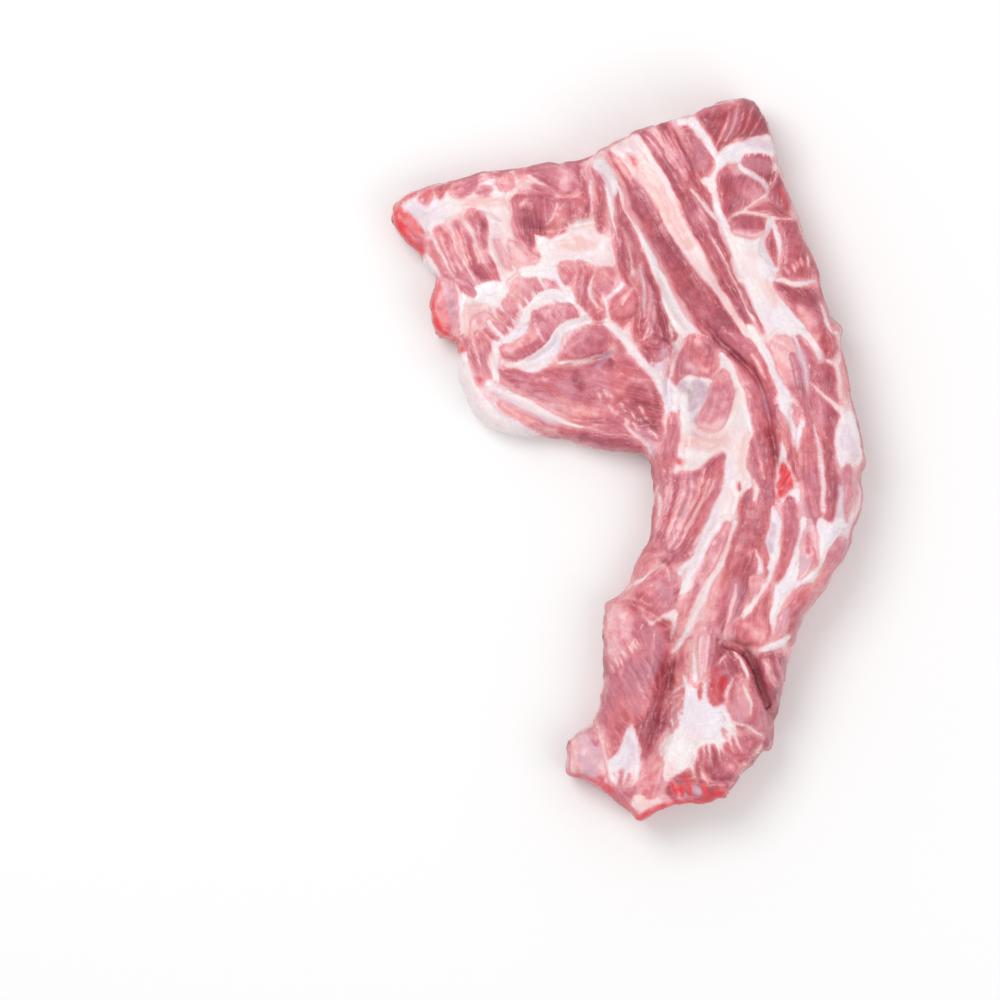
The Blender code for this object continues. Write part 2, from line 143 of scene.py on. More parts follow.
def fan(pattern: Strand, left: tuple, right: tuple, count: int, seed: int,
        spread: float = 0.25) -> list[Strand]:
    """Repeat a strand between two guide lines.

    Args:
        pattern: gives the tissue, tone and widths.
        left: the first guide's points.
        right: the last guide's points, as many as the first's.
        count: how many strands there are.
        seed: sets the small differences between them.
        spread: how much tone, width and length may differ.

    Returns:
        The strands, from the first guide to the last.
    """
    draw = random.Random(seed)
    strands = []
    for index in range(count):
        share = (index + draw.uniform(-0.3, 0.3)) / max(count - 1, 1)
        shift = draw.uniform(-0.5, 0.5) * spread
        line = []
        for first, last in zip(left, right):
            line.append((first[0] + (last[0] - first[0]) * share, first[1] + (last[1] - first[1]) * share))
        head, tail = line[0], line[-1]
        step = ((tail[0] - head[0]) * shift, (tail[1] - head[1]) * shift)
        line = tuple((x + step[0], y + step[1]) for x, y in line)
        swell = 1.0 + draw.uniform(-spread, spread)
        widths = tuple(width * swell for width in pattern.widths)
        tone = pattern.tone + draw.uniform(-spread, spread)
        strands.append(replace(pattern, tone=tone, widths=widths, line=line))
    return strands


def fat(warmth: float, widths: tuple | float, *line: tuple) -> Strand:
    """A strip of fat, from 0 for white to 1 for peach pink."""
    return Strand(Tissue.FAT, warmth, tapered(widths), line)


def veil(warmth: float, widths: tuple | float, *line: tuple) -> Strand:
    """Fat with soft, streaky edges."""
    return Strand(Tissue.VEIL, warmth, tapered(widths), line)


def gristle(strength: float, widths: tuple | float, *line: tuple) -> Strand:
    """Lilac grey cartilage or silverskin over what lies under it."""
    return Strand(Tissue.GRISTLE, strength, tapered(widths), line)


def blood(strength: float, widths: tuple | float, *line: tuple) -> Strand:
    """Bright red, as at sawn rib ends and in small vessels."""
    return Strand(Tissue.BLOOD, strength, tapered(widths), line)


def tint(tone: float, widths: tuple | float, *line: tuple) -> Strand:
    """A soft change of a muscle's tone, with no edge of its own."""
    return Strand(Tissue.TINT, tone, tapered(widths), line)


def cleft(depth: float, widths: tuple | float, *line: tuple) -> Strand:
    """A groove of the given depth in millimetres, darkened with painted shade."""
    return Strand(Tissue.CLEFT, depth, tapered(widths), line)


def smooth_line(line: tuple, spacing: float = 2.5, closed: bool = False) -> np.ndarray:
    """Lay evenly spaced points on a smooth curve.

    Args:
        line: the points the curve runs through.
        spacing: the distance between the points laid on it.
        closed: whether the curve comes back to its start.

    Returns:
        The points, one row each, both ends included.
    """
    knots = np.array(line, dtype=float)
    if len(knots) == 2:
        knots = np.vstack([knots[0], knots.mean(axis=0), knots[1]])
    if closed:
        knots = np.vstack([knots[-1], knots, knots[:2]])
    else:
        knots = np.vstack([2 * knots[0] - knots[1], knots, 2 * knots[-1] - knots[-2]])
    fine = []
    for before, start, end, after in zip(knots[:-3], knots[1:-2], knots[2:-1], knots[3:]):
        for step in np.linspace(0.0, 1.0, 8, endpoint=False):
            fine.append(0.5 * (2 * start + (end - before) * step
                               + (2 * before - 5 * start + 4 * end - after) * step ** 2
                               + (3 * start - before - 3 * end + after) * step ** 3))
    fine.append(knots[-2])
    fine = np.array(fine)
    travelled = np.concatenate([[0.0], np.cumsum(np.linalg.norm(np.diff(fine, axis=0), axis=1))])
    stops = np.linspace(0.0, travelled[-1], max(3, round(travelled[-1] / spacing) + 1))
    return np.column_stack([np.interp(stops, travelled, fine[:, axis]) for axis in range(2)])


@dataclass
class Beside:
    """Where points lie beside a path.

    Holds each point's distance, its nearest spot from 0 to 1 along the path, how far along the
    path it is in millimetres, past the ends too, and how far to the path's left.
    """

    gap: np.ndarray
    share: np.ndarray
    along: np.ndarray
    across: np.ndarray
    length: float

    @property
    def end(self) -> np.ndarray:
        """How far each point's nearest spot is from the nearer end of the path."""
        return np.minimum(self.share, 1.0 - self.share) * self.length

    @classmethod
    def path(cls, points: np.ndarray, path: np.ndarray) -> "Beside":
        """Set points beside a path.

        Args:
            points: points in the plan, one row each.
            path: the path's points, evenly spaced.

        Returns:
            Where they lie beside it.
        """
        starts = path[:-1]
        runs = path[1:] - starts
        steps = np.linalg.norm(runs, axis=1)
        offsets = points[:, None, :] - starts[None, :, :]
        reached = (offsets * runs).sum(axis=2) / steps ** 2
        held = np.clip(reached, 0.0, 1.0)
        gaps = np.linalg.norm(offsets - held[:, :, None] * runs, axis=2)
        nearest = gaps.argmin(axis=1)
        rows = np.arange(len(points))
        spot = offsets[rows, nearest]
        run = runs[nearest] / steps[nearest][:, None]
        travelled = np.concatenate([[0.0], np.cumsum(steps)])[nearest]
        return cls(gap=gaps[rows, nearest], share=(nearest + held[rows, nearest]) / len(runs),
                   along=travelled + (spot * run).sum(axis=1),
                   across=run[:, 0] * spot[:, 1] - run[:, 1] * spot[:, 0], length=float(steps.sum()))


def ramp_up(values: np.ndarray, low: float, high: float) -> np.ndarray:
    """Rise smoothly from 0 at the low value to 1 at the high one."""
    share = np.clip((values - low) / (high - low), 0.0, 1.0)
    return share * share * (3.0 - 2.0 * share)


def within(points: np.ndarray, loop: np.ndarray) -> np.ndarray:
    """Which points lie inside a closed path, by how often a ray from each of them crosses it."""
    inside = np.zeros(len(points), dtype=bool)
    for start, stop in zip(loop[:-1], loop[1:]):
        if start[1] == stop[1]:
            continue
        crossed = (start[1] > points[:, 1]) != (stop[1] > points[:, 1])
        spot = start[0] + (points[:, 1] - start[1]) * (stop[0] - start[0]) / (stop[1] - start[1])
        inside ^= crossed & (points[:, 0] < spot)
    return inside


def soft_noise(points: np.ndarray, size: float, seed: float) -> np.ndarray:
    """Draw smooth noise in lumps.

    Args:
        points: points in millimetres, with two or three columns.
        size: the lumps' size.
        seed: moves the noise to another place.

    Returns:
        One value for each point, between about -1 and 1.
    """
    scaled = np.zeros((len(points), 3))
    scaled[:, :points.shape[1]] = points / size
    return np.array([noise.noise(Vector(row)) for row in scaled + seed])


@dataclass
class RibFlap:
    """The broad flap over the two ribs, with its fan of streaks and its thick lower fat."""

    seed: int = 5
    # How many small white dashes stand in for wet glints: painted highlights, laid as fat
    painted_glints: int = 12
    # Strands between the top saw cut and the middle of the flap
    upper_half: tuple = (
        # sawn end of the upper rib
        plate(0.2, (-113, 132), (-98, 135), (-84, 136), (-70, 141), (-56, 146), (-57, 134), (-60, 118),
              (-66, 121), (-80, 126), (-90, 120), (-98, 117), (-104, 111), (-110, 114), (-115, 123)),
        gristle(0.4, 8, (-109, 128), (-104, 121), (-103, 114)),
        gristle(0.2, 9, (-102, 127), (-95, 125), (-88, 129)),
        veil(0.9, (4, 6, 5), (-82, 129), (-64, 129)),
        blood(0.55, 5, (-118, 128), (-113, 133), (-108, 134)),
        blood(0.6, (3, 5, 5, 3), (-115, 125), (-108, 117), (-104, 114)),
        blood(0.25, 8, (-113, 116), (-104, 107)),
        patch(0.0, 60, (-106, 131), (-103, 136), (-98, 137), (-99, 132), (-102, 128)),
        blood(0.3, (3, 4), (-103, 133), (-101, 134)),
        patch(0.45, 40, (-98, 135), (-95, 138), (-90, 139), (-92, 135), (-94, 131)),
        patch(0.05, 15, (-90, 136), (-78, 143), (-76, 139), (-79, 134), (-85, 131), (-89, 132)),
        patch(-0.1, 10, (-77, 136), (-73, 138), (-69, 136), (-72, 132), (-76, 133)),
        patch(0.1, 0, (-70, 144), (-66, 146), (-61, 146), (-64, 141)),
        patch(-0.5, 0, (-67, 139), (-63, 144), (-59, 143), (-58, 138), (-61, 135), (-65, 136)),
        # zone of lilac and peach beside the fan
        plate(0.5, (-72, 125), (-62, 124), (-59, 116), (-55, 108), (-55, 97), (-64, 90), (-68, 98),
              (-71, 106), (-70, 114)),
        gristle(0.35, 8, (-67, 116), (-64, 98)),
        *fan(muscle(-0.6, 1.6, (0, 0)), ((-67, 110), (-65, 102), (-61, 95)),
             ((-59, 108), (-57, 102), (-54, 97)), 4, 9),
        patch(-0.7, -60, (-60, 110), (-55, 108), (-51, 104), (-46, 102), (-45, 99), (-50, 97), (-57, 97),
              (-60, 102)),
        gristle(0.9, 1.8, (-73, 124), (-65, 119.5)),
        # fan of streaks
        muscle(0.1, (1.6, 2.4, 2.6, 4), (-100, 108), (-94, 96), (-90, 90)),
        muscle(0.2, (4, 6.5, 7, 7, 6, 5), (-95.5, 116), (-82, 89), (-78, 84)),
        muscle(0.4, (3, 5, 6.5, 7, 6, 4), (-86, 117), (-77, 98), (-69, 88)),
        muscle(0.25, (2, 4.5, 4.5, 2), (-72, 102), (-66, 89)),
        patch(0.25, -65, (-81, 122), (-77, 125), (-73, 122), (-71, 118), (-72, 112), (-72, 106), (-75, 105),
              (-77, 110)),
        tint(0.9, (4, 5), (-73, 119), (-72, 117)),
        tint(0.9, (3, 6, 6, 4), (-81, 103), (-79, 98), (-76, 94), (-72, 91)),
        fat(0.15, (1.2, 1.7, 1.4), (-98, 110), (-95, 103), (-88, 93)),
        fat(0.15, (1.0, 1.8, 1.9, 1.7), (-90, 113), (-86, 104), (-78, 91)),
        fat(0.25, (1.0, 1.7, 1.5, 1.0), (-82, 119), (-73, 98)),
        *fan(tint(-0.7, 1.8, (0, 0)), ((-94, 110), (-90, 101), (-86, 93)),
             ((-76, 118), (-75, 109), (-73, 101)), 6, 4),
        wrapped(fat(0.2, (3, 5.5, 5), (-105, 104), (-97, 92))),
        # dark muscle in the middle
        patch(0.4, -85, (-59, 132), (-54, 134), (-42, 132), (-38, 129), (-38, 124), (-43, 114), (-47, 112),
              (-50, 103.5), (-52, 107), (-56, 113), (-59.5, 126)),
        tint(0.95, (3, 5, 5, 3), (-53, 128), (-50, 109)),
        tint(0.85, (4, 6, 5), (-48, 124), (-44, 115)),
        tint(-0.05, 4, (-58, 129), (-57.5, 121), (-55, 114)),
        tint(-0.5, 1.8, (-55, 127), (-51.5, 131)),
        patch(0.25, -85, (-37, 131), (-24, 131), (-19, 128), (-20, 122), (-28, 120), (-35, 114), (-40, 113),
              (-42, 116), (-39, 120), (-37, 125)),
        tint(-0.4, 4, (-40, 115), (-36, 117), (-33, 120)),
        fat(0.45, 1.8, (-36, 129), (-38, 123), (-42, 117)),
        patch(0.1, -25, (-52, 146), (-45, 147), (-36, 148), (-27, 150), (-24, 143), (-25, 136), (-30, 133),
              (-36, 134), (-47, 141), (-51, 143)),
        tint(0.4, 6, (-50, 145), (-42, 141)),
        tint(-0.45, 6, (-34, 147), (-31, 141), (-33, 136)),
        fat(0.3, (1.6, 2.2, 2.0, 1.2), (-51, 143), (-47, 139.5), (-35, 132)),
        muscle(0.0, 5, (-47, 136), (-38, 132)),
        patch(0.0, 0, (-58, 146), (-54, 148), (-53, 143), (-57, 142)),
        muscle(0.55, (2, 3, 3, 2), (-25, 147), (-21, 123)),
        tint(1.1, 2.2, (-21.5, 142), (-20.5, 132), (-21.5, 123)),
        # cream plate with its comb, and the white block beside it
        plate(0.35, (-40, 111), (-36, 113), (-31, 117), (-20, 121), (-16, 114), (-11, 111), (-7, 98),
              (-14, 97), (-20, 99), (-27, 100), (-39, 99), (-41, 105)),
        veil(0.75, 9, (-34, 109), (-19, 107)),
        *fan(fat(0.15, (2.4, 1.8, 0.8), (0, 0)), ((-37, 111), (-35.5, 114.5), (-34, 118)),
             ((-18, 117), (-19, 121), (-20, 125)), 7, 3),
        plate(0.0, (-48, 113), (-40, 111), (-40, 104), (-37, 96), (-38, 90), (-46, 88), (-52, 90),
              (-56, 96), (-45, 100)),
        wrapped(blood(1.0, (4, 7, 8, 7, 4), (-119, 127), (-118, 119), (-110, 107), (-105, 103.5))),
    )
    # Strands between the middle of the flap and its thick lower edge
    lower_half: tuple = (
        # sawn end of the lower rib
        patch(-0.45, 80, (-97, 91), (-90, 91), (-87, 85), (-87, 74), (-86, 63), (-90, 60), (-95, 62),
              (-100, 71), (-100, 86)),
        gristle(0.55, 5, (-92, 86), (-90, 78), (-89, 67)),
        blood(0.5, (5, 7, 6, 4), (-97, 89), (-96, 81), (-92, 66)),
        gristle(0.7, 3.6, (-93, 85), (-90, 81)),
        tint(0.4, (2, 3, 3), (-90, 79), (-89, 73), (-90, 67)),
        fat(0.0, (2, 2.6, 2.6, 2), (-87, 88), (-85.5, 79), (-84.5, 61)),
        # pale dome and the lines that run down from it
        plate(0.08, (-84, 85), (-78, 87), (-70, 90), (-63, 89), (-59, 84), (-61, 79), (-67, 76), (-72, 78),
              (-80, 78), (-84, 76)),
        plate(0.9, (-84, 77), (-76, 79), (-71, 76), (-71, 69), (-74, 64), (-79, 62), (-84, 63)),
        patch(-0.75, -70, (-79, 70), (-74, 74), (-69, 72), (-71, 66), (-75, 62), (-80, 62)),
        gristle(0.2, 8, (-80, 80), (-77, 75), (-77, 68)),
        muscle(0.1, (4, 6, 5), (-86, 90), (-79, 84)),
        muscle(-0.15, (4, 6, 6.5, 5, 3), (-76, 63), (-74, 57), (-71, 42)),
        muscle(0.1, (2, 3, 3, 2), (-84, 62), (-80, 56), (-76, 44)),
        fat(0.25, 1.5, (-79, 60), (-74, 46)),
        fat(0.05, (3, 5, 5, 4, 3), (-66, 62), (-68.5, 50), (-67, 41)),
        # crescents
        teased(patch(-0.35, -55, (-71, 71), (-60, 84), (-56, 90), (-48, 91), (-38, 91), (-34, 87),
                     (-35, 83), (-42, 84), (-48, 82), (-56, 72), (-61, 62), (-66, 61), (-70, 65))),
        tint(0.3, (3, 4, 4, 3, 3), (-64, 63), (-51, 79), (-45, 83), (-37, 84)),
        *fan(fat(0.35, 1.6, (0, 0)), ((-69, 76), (-65, 71), (-60, 66)), ((-45, 91), (-43, 88), (-41, 85)),
             6, 12),
        fat(0.1, 2.2, (-71, 70), (-63, 61)),
        muscle(0.6, 2.6, (-72, 65), (-69, 62), (-66, 60.5)),
        fat(0.05, (3, 4, 5.5, 6, 6, 5, 5, 5, 4), (-63, 60), (-57, 64), (-52, 70), (-48, 77), (-42, 81.5),
            (-35, 82), (-21, 71)),
        gristle(0.15, (2, 4, 4, 4, 2), (-56, 66), (-50, 74), (-42, 81.5), (-33, 80), (-27, 75)),
        fat(0.1, (5, 5, 5, 4), (-37, 97), (-29, 79)),
        teased(patch(-0.1, -62, (-49, 75), (-43, 77), (-32, 79), (-27, 77), (-24, 72), (-26, 70), (-31, 69),
                     (-35, 66), (-37, 60), (-47, 52), (-54, 49), (-61, 49), (-66, 53), (-65, 58), (-58, 59),
                     (-53, 63), (-50, 69))),
        tint(0.4, (5, 8, 8, 5), (-44, 70), (-42, 64), (-44, 58), (-51, 54)),
        tint(-0.6, 5, (-63, 55), (-57, 57), (-51, 66)),
        tint(-0.7, 1.2, (-48, 71), (-46, 64), (-43, 59)),
        *fan(tint(-0.5, 1.2, (0, 0)), ((-44, 79), (-43, 75), (-42, 71)), ((-31, 78), (-32, 73), (-33, 68)),
             4, 14),
        fat(0.05, (3, 5, 8, 8, 7, 5, 4, 3.5, 3), (-61, 47), (-48, 47.5), (-39, 57), (-34, 66), (-20, 71)),
        teased(patch(0.15, -70, (-35, 49), (-34, 56), (-27, 65), (-14, 69), (-7, 60), (-9, 56), (-14, 52),
                     (-28, 48))),
        tint(0.5, (5, 7, 6), (-21, 60), (-15, 57), (-12, 61)),
        tint(-0.25, 5, (-32, 55), (-28, 62), (-20, 66)),
        # broad muscle above the fat edge
        patch(0.15, -14, (-65, 45), (-57, 46), (-51, 43), (-45, 43), (-39, 47), (-28, 47), (-18, 49),
              (-8, 54), (-2, 52), (10, 41), (17, 25), (18, 17), (15, 10), (8, 11), (0, 13), (-10, 14),
              (-30, 21), (-50, 32), (-60, 38)),
        tint(0.35, 9, (-46, 40), (-38, 40), (-30, 43)),
        tint(1.0, 6, (-27, 43), (-24, 37)),
        tint(-0.4, (5, 9, 9, 6), (-46, 31), (-36, 27), (-26, 25), (-16, 26)),
        tint(0.05, (8, 11, 9), (-14, 42), (-4, 44), (4, 40)),
        tint(0.8, (6, 9, 9, 6), (2, 36), (5, 30), (4, 22), (8, 18)),
        tint(0.8, 8, (12, 32), (13, 24), (12, 17)),
        gristle(0.35, 7, (-34, 38), (-31, 36), (-30, 33)),
        fat(0.6, (1.0, 1.6, 1.4, 1.2), (-35, 49), (-27, 49), (-13, 52)),
        gristle(0.7, 4, (-16, 46), (-14, 50), (-9, 54)),
        tint(1.2, (2, 3), (-10, 50.5), (-9, 48.5)),
        muscle(0.4, (3, 4), (-6, 58), (-4, 55)),
        fat(0.3, (3, 4, 4, 4, 3, 2), (-71, 38), (-42, 23), (-24, 16.5)),
        gristle(0.5, (2, 3, 3, 2), (-67, 34), (-46, 22), (-36, 18)),
        muscle(-0.5, (2, 3.5, 3.5, 2), (-64, 28), (-46, 18), (-37, 15)),
        patch(0.3, -8, (-36, 16), (-24, 15), (-14, 13), (3, 11), (8, 6), (9, 2), (0, 2), (-10, 3), (-28, 9),
              (-36, 12)),
        tint(0.8, (3, 5, 5, 3), (-24, 12), (-14, 10), (-4, 9), (4, 6)),
        fat(0.3, (1.4, 2.6, 2.4, 1.6), (-3, 18), (7, 9), (11, 3)),
        gristle(0.4, 3, (3, 16), (8, 11), (12, 4)),
        wrapped(fat(0.25, (10, 13, 13, 13, 12, 7), (-87, 54), (-86, 42), (-80, 30), (-71, 20), (-60, 14),
                    (-48, 11))),
        blood(0.6, (2, 2.6), (-76, 41), (-75, 39.5)),
        wrapped(blood(1.0, (4, 5, 7, 8, 8, 6, 4), (-98, 91), (-100.5, 82), (-100, 73), (-97.5, 66),
                      (-94, 62), (-90, 60), (-85, 56))),
    )

    def strands(self) -> list[Strand]:
        """The strands in the order they are laid, the painted glints last: white dashes that stand in for
        wet highlights.
        """
        draw = random.Random(self.seed)
        painted_glints = []
        for index in range(self.painted_glints):
            x = -16.0 + 2.4 * index + draw.uniform(-1.5, 1.5)
            y = 31.0 - 1.1 * index + draw.uniform(-6.0, 6.0)
            painted_glints.append(fat(0.3, 2.0, (x, y), (x + 1.0, y - 1.4), (x + 1.8, y - 3.2)))
        return [*self.upper_half, *self.lower_half, *painted_glints]


@dataclass
class BackboneStrip:
    """The long strip over the backbone, from the wide sawn end to the waist."""

    # Small strands where the flap meets the strip
    flap_border: tuple = (
        patch(0.0, -50, (-36, 97), (-31, 98), (-27, 94), (-31, 88), (-34, 91)),
        patch(0.3, 80, (-26, 98), (-22, 98), (-17, 93), (-20, 88), (-21, 83), (-19, 78), (-21, 75),
              (-25, 79), (-27, 85)),
        tint(0.8, 3, (-22, 92), (-21.5, 81)),
        patch(0.3, -70, (-20, 78), (-16, 80), (-13, 71), (-16, 69.5), (-19, 72)),
        patch(0.05, -50, (-17, 93), (-11, 96), (-7, 93), (-11, 84), (-18, 80), (-18, 86)),
        patch(0.0, 50, (-9, 81), (0, 88), (4, 89), (6, 82), (5, 76), (-1, 68), (-5, 66.5), (-9, 71),
              (-10, 76)),
        tint(0.5, 5, (-7, 72), (-3, 70), (1, 73)),
        tint(-0.8, 1.4, (-4, 78), (1, 86)),
        fat(0.0, (1.2, 1.8, 3, 2.6, 1.8), (-17, 95), (-20, 84.5), (-16.5, 76)),
        fat(0.05, (2.6, 2.2, 2, 1.8), (-11, 82), (-2, 89.5), (2, 96)),
        fat(0.1, (1.8, 2.2, 1.8), (-14, 83), (-10, 70)),
        # streaky strands beside the long white strip
        patch(0.3, -80, (4, 104), (8, 98), (19, 68), (21, 58), (16, 57), (10, 56), (5, 59), (3, 66),
              (4, 73), (7, 79), (7, 86), (4, 95)),
        gristle(0.3, (3, 4, 4, 3), (10, 92), (11, 72), (9, 62)),
        fat(0.3, (1.6, 2.4, 2.4, 1.6), (5, 98), (7, 81), (7, 72)),
        gristle(0.45, 3, (5, 95), (7, 85), (7, 75)),
        *fan(tint(-0.6, 1.6, (0, 0)), ((9, 88), (9.5, 78), (9, 67)), ((14, 82), (15, 73), (15, 63)), 3, 5),
        muscle(0.95, (1.5, 2.6, 3, 3.6, 4.2, 3), (6, 102), (9, 95), (17, 69), (18, 61)),
        tint(0.6, 5, (12, 66), (13, 60), (12, 54)),
        fat(0.15, 2.0, (11, 68), (6.5, 60.5)),
        plate(0.1, (19, 70), (23, 73), (28, 68), (36, 64), (38, 61), (30, 61), (21, 53), (20, 60)),
        muscle(0.7, 2.2, (21, 68), (22.5, 64), (21.5, 60)),
        patch(0.2, -80, (6, 58), (10, 61), (20, 58), (20, 53), (17, 50), (13, 50), (10, 47), (5, 53)),
        tint(0.8, 5, (7, 56), (9, 52), (11, 50)),
        gristle(0.8, 3.4, (17, 56), (18, 54), (16, 52)),
        fat(0.3, 3.5, (11, 49), (15, 47.5), (19, 51)),
        gristle(0.6, 4, (11, 48), (14, 46), (18, 49)),
        fat(0.15, (4, 5, 5, 4, 4, 6, 8, 9, 7, 3, 2), (-11, 70), (-6, 66), (1, 55), (17, 38), (20, 32),
            (20.5, 27), (18.5, 21), (17.5, 14)),
        tint(-1.0, (2, 3), (18, 34), (19, 33)),
    )
    # The long muscles that run in from the wide sawn end
    wide_end: tuple = (
        # thin strips beside the flap
        muscle(0.5, (2, 4, 4, 4, 2), (-19, 146), (-15.5, 138), (-14.5, 131), (-15, 116)),
        fat(0.35, (1, 1.4, 1.2), (-20, 140), (-18.5, 120)),
        patch(0.5, -80, (-17, 121), (-13, 122), (-13, 117), (-15, 114), (-17, 117)),
        muscle(0.3, (3, 5, 5, 4, 3), (-8, 120), (-5, 112), (-1.5, 90)),
        muscle(0.4, (1.5, 4, 5, 4, 3, 2.4), (-7, 136), (-5, 123), (2, 109), (2, 96)),
        tint(0.9, 1.8, (-4.5, 129), (-1, 118)),
        fat(0.4, (0.9, 1.2, 1.1, 0.9), (-4, 116), (0, 102), (0.5, 93)),
        veil(0.8, (4, 5), (-20, 152), (-17, 148)),
        fat(0.0, (5, 6, 5, 3, 1.8, 1.6, 1.4), (-16, 148), (-10, 138), (-9.5, 124), (-6, 110)),
        fat(0.05, (2, 2.2, 1.8, 1.8, 2.2), (-8, 138), (-5, 131), (-3.5, 125), (4, 114)),
        # long muscle along the left of the strip
        muscle(0.55, (3, 4.5, 7, 10, 11, 10, 11, 13, 14.5, 16.5, 17, 17, 13), (-10, 153), (-1, 140),
               (9, 121), (13, 112), (39, 72), (51, 57)),
        tint(-0.3, (2, 4, 4, 4, 4, 4), (0, 124), (8, 111), (18, 92), (23, 80), (30, 67)),
        tint(0.95, (3, 5, 6, 6, 6, 5), (5, 134), (22, 103), (32, 88), (42, 76), (48, 67)),
        tint(-0.35, (3, 3, 3), (-8, 151), (0, 141)),
        fat(0.0, (2.4, 3.4, 4, 4.4, 5, 5.6, 6.5, 7, 6), (5, 113), (17, 85), (19, 78), (26, 65), (31, 62)),
        # pale strip
        plate(0.5, (-11, 155), (-4, 159), (2, 163), (7, 158), (27, 128), (30, 119), (39, 99), (55, 70),
              (60, 62), (57, 61), (52, 67), (41, 84), (35, 90), (19, 112), (11, 130), (0, 143), (-5, 150)),
        veil(1.0, (4, 8, 9, 9, 8, 5), (2, 149), (28, 107)),
        fat(0.0, (2.5, 3.4, 3.4, 3.4, 2.6), (4, 160), (24, 132), (28, 122)),
        gristle(0.3, (5, 6), (-4, 156), (1, 154)),
        gristle(0.25, (3, 5, 5, 3), (24, 107), (39, 89), (46, 79)),
        blood(0.35, (2.5, 3), (0, 150), (1.5, 148)),
        # narrow muscles right of it
        muscle(0.7, (5, 6, 7, 7, 7, 7, 7, 6.5, 7, 6.5, 6, 5), (6, 163), (11, 157), (26, 133), (34, 114),
               (58, 69)),
        muscle(0.75, (6, 8, 8, 7, 6, 5), (16, 167), (38, 125)),
        tint(-0.3, 4, (7, 162), (14, 152)),
        tint(-0.2, 4, (10, 164), (16, 156)),
        tint(1.05, (2.5, 3, 3, 2.4, 2), (21, 168), (31, 142), (36, 134)),
        *fan(tint(-0.5, 1.5, (0, 0)), ((13, 162), (17, 154), (22, 145)), ((19, 166), (24, 154), (29, 144)),
             4, 33),
        patch(0.4, -65, (28, 167), (31, 163), (36, 158), (41, 148), (38, 142), (36, 138), (33, 140),
              (31, 146), (27, 160)),
        gristle(0.25, (4, 6, 5), (33, 158), (36, 151), (35, 145)),
        muscle(0.55, (2, 3.8, 3.4, 2), (33, 139), (41, 126), (43, 121)),
        muscle(0.65, (4, 6, 5, 3, 2.5, 2.5, 2.5, 2), (38, 124), (48, 99), (57, 83), (66, 64)),
        fat(0.2, (1.4, 1.8, 1.8, 1.8), (30, 135), (43, 118)),
        fat(0.1, (1.0, 1.3, 1.6, 1.6, 1.6, 1.6, 1.6), (32, 123), (37, 116), (50, 92), (61, 69)),
        fat(0.0, (4, 5, 4.4, 4.4, 6), (25, 169), (31, 167), (40, 155), (44, 151)),
        fat(0.2, (3, 4), (31, 173), (31, 168)),
        muscle(0.55, (3, 3.4), (26, 166), (28, 165)),
        # dark muscle in the far corner
        patch(1.05, 62, (33, 172), (38, 176), (60, 180), (67, 177), (71, 170), (71, 162), (66, 162),
              (61, 161), (57, 159), (53, 161), (45, 152), (43, 155), (35, 168)),
        tint(0.25, (4, 5, 5), (36, 173), (54, 177)),
        tint(1.2, (4, 6, 5), (56, 164), (61, 167), (66, 164)),
        *fan(tint(-0.2, 1.2, (0, 0)), ((50, 175), (46, 166), (42, 157)), ((66, 174), (63, 168), (60, 163)),
             5, 23, 0.35),
        gristle(0.3, 5, (54, 174), (47, 160)),
    )
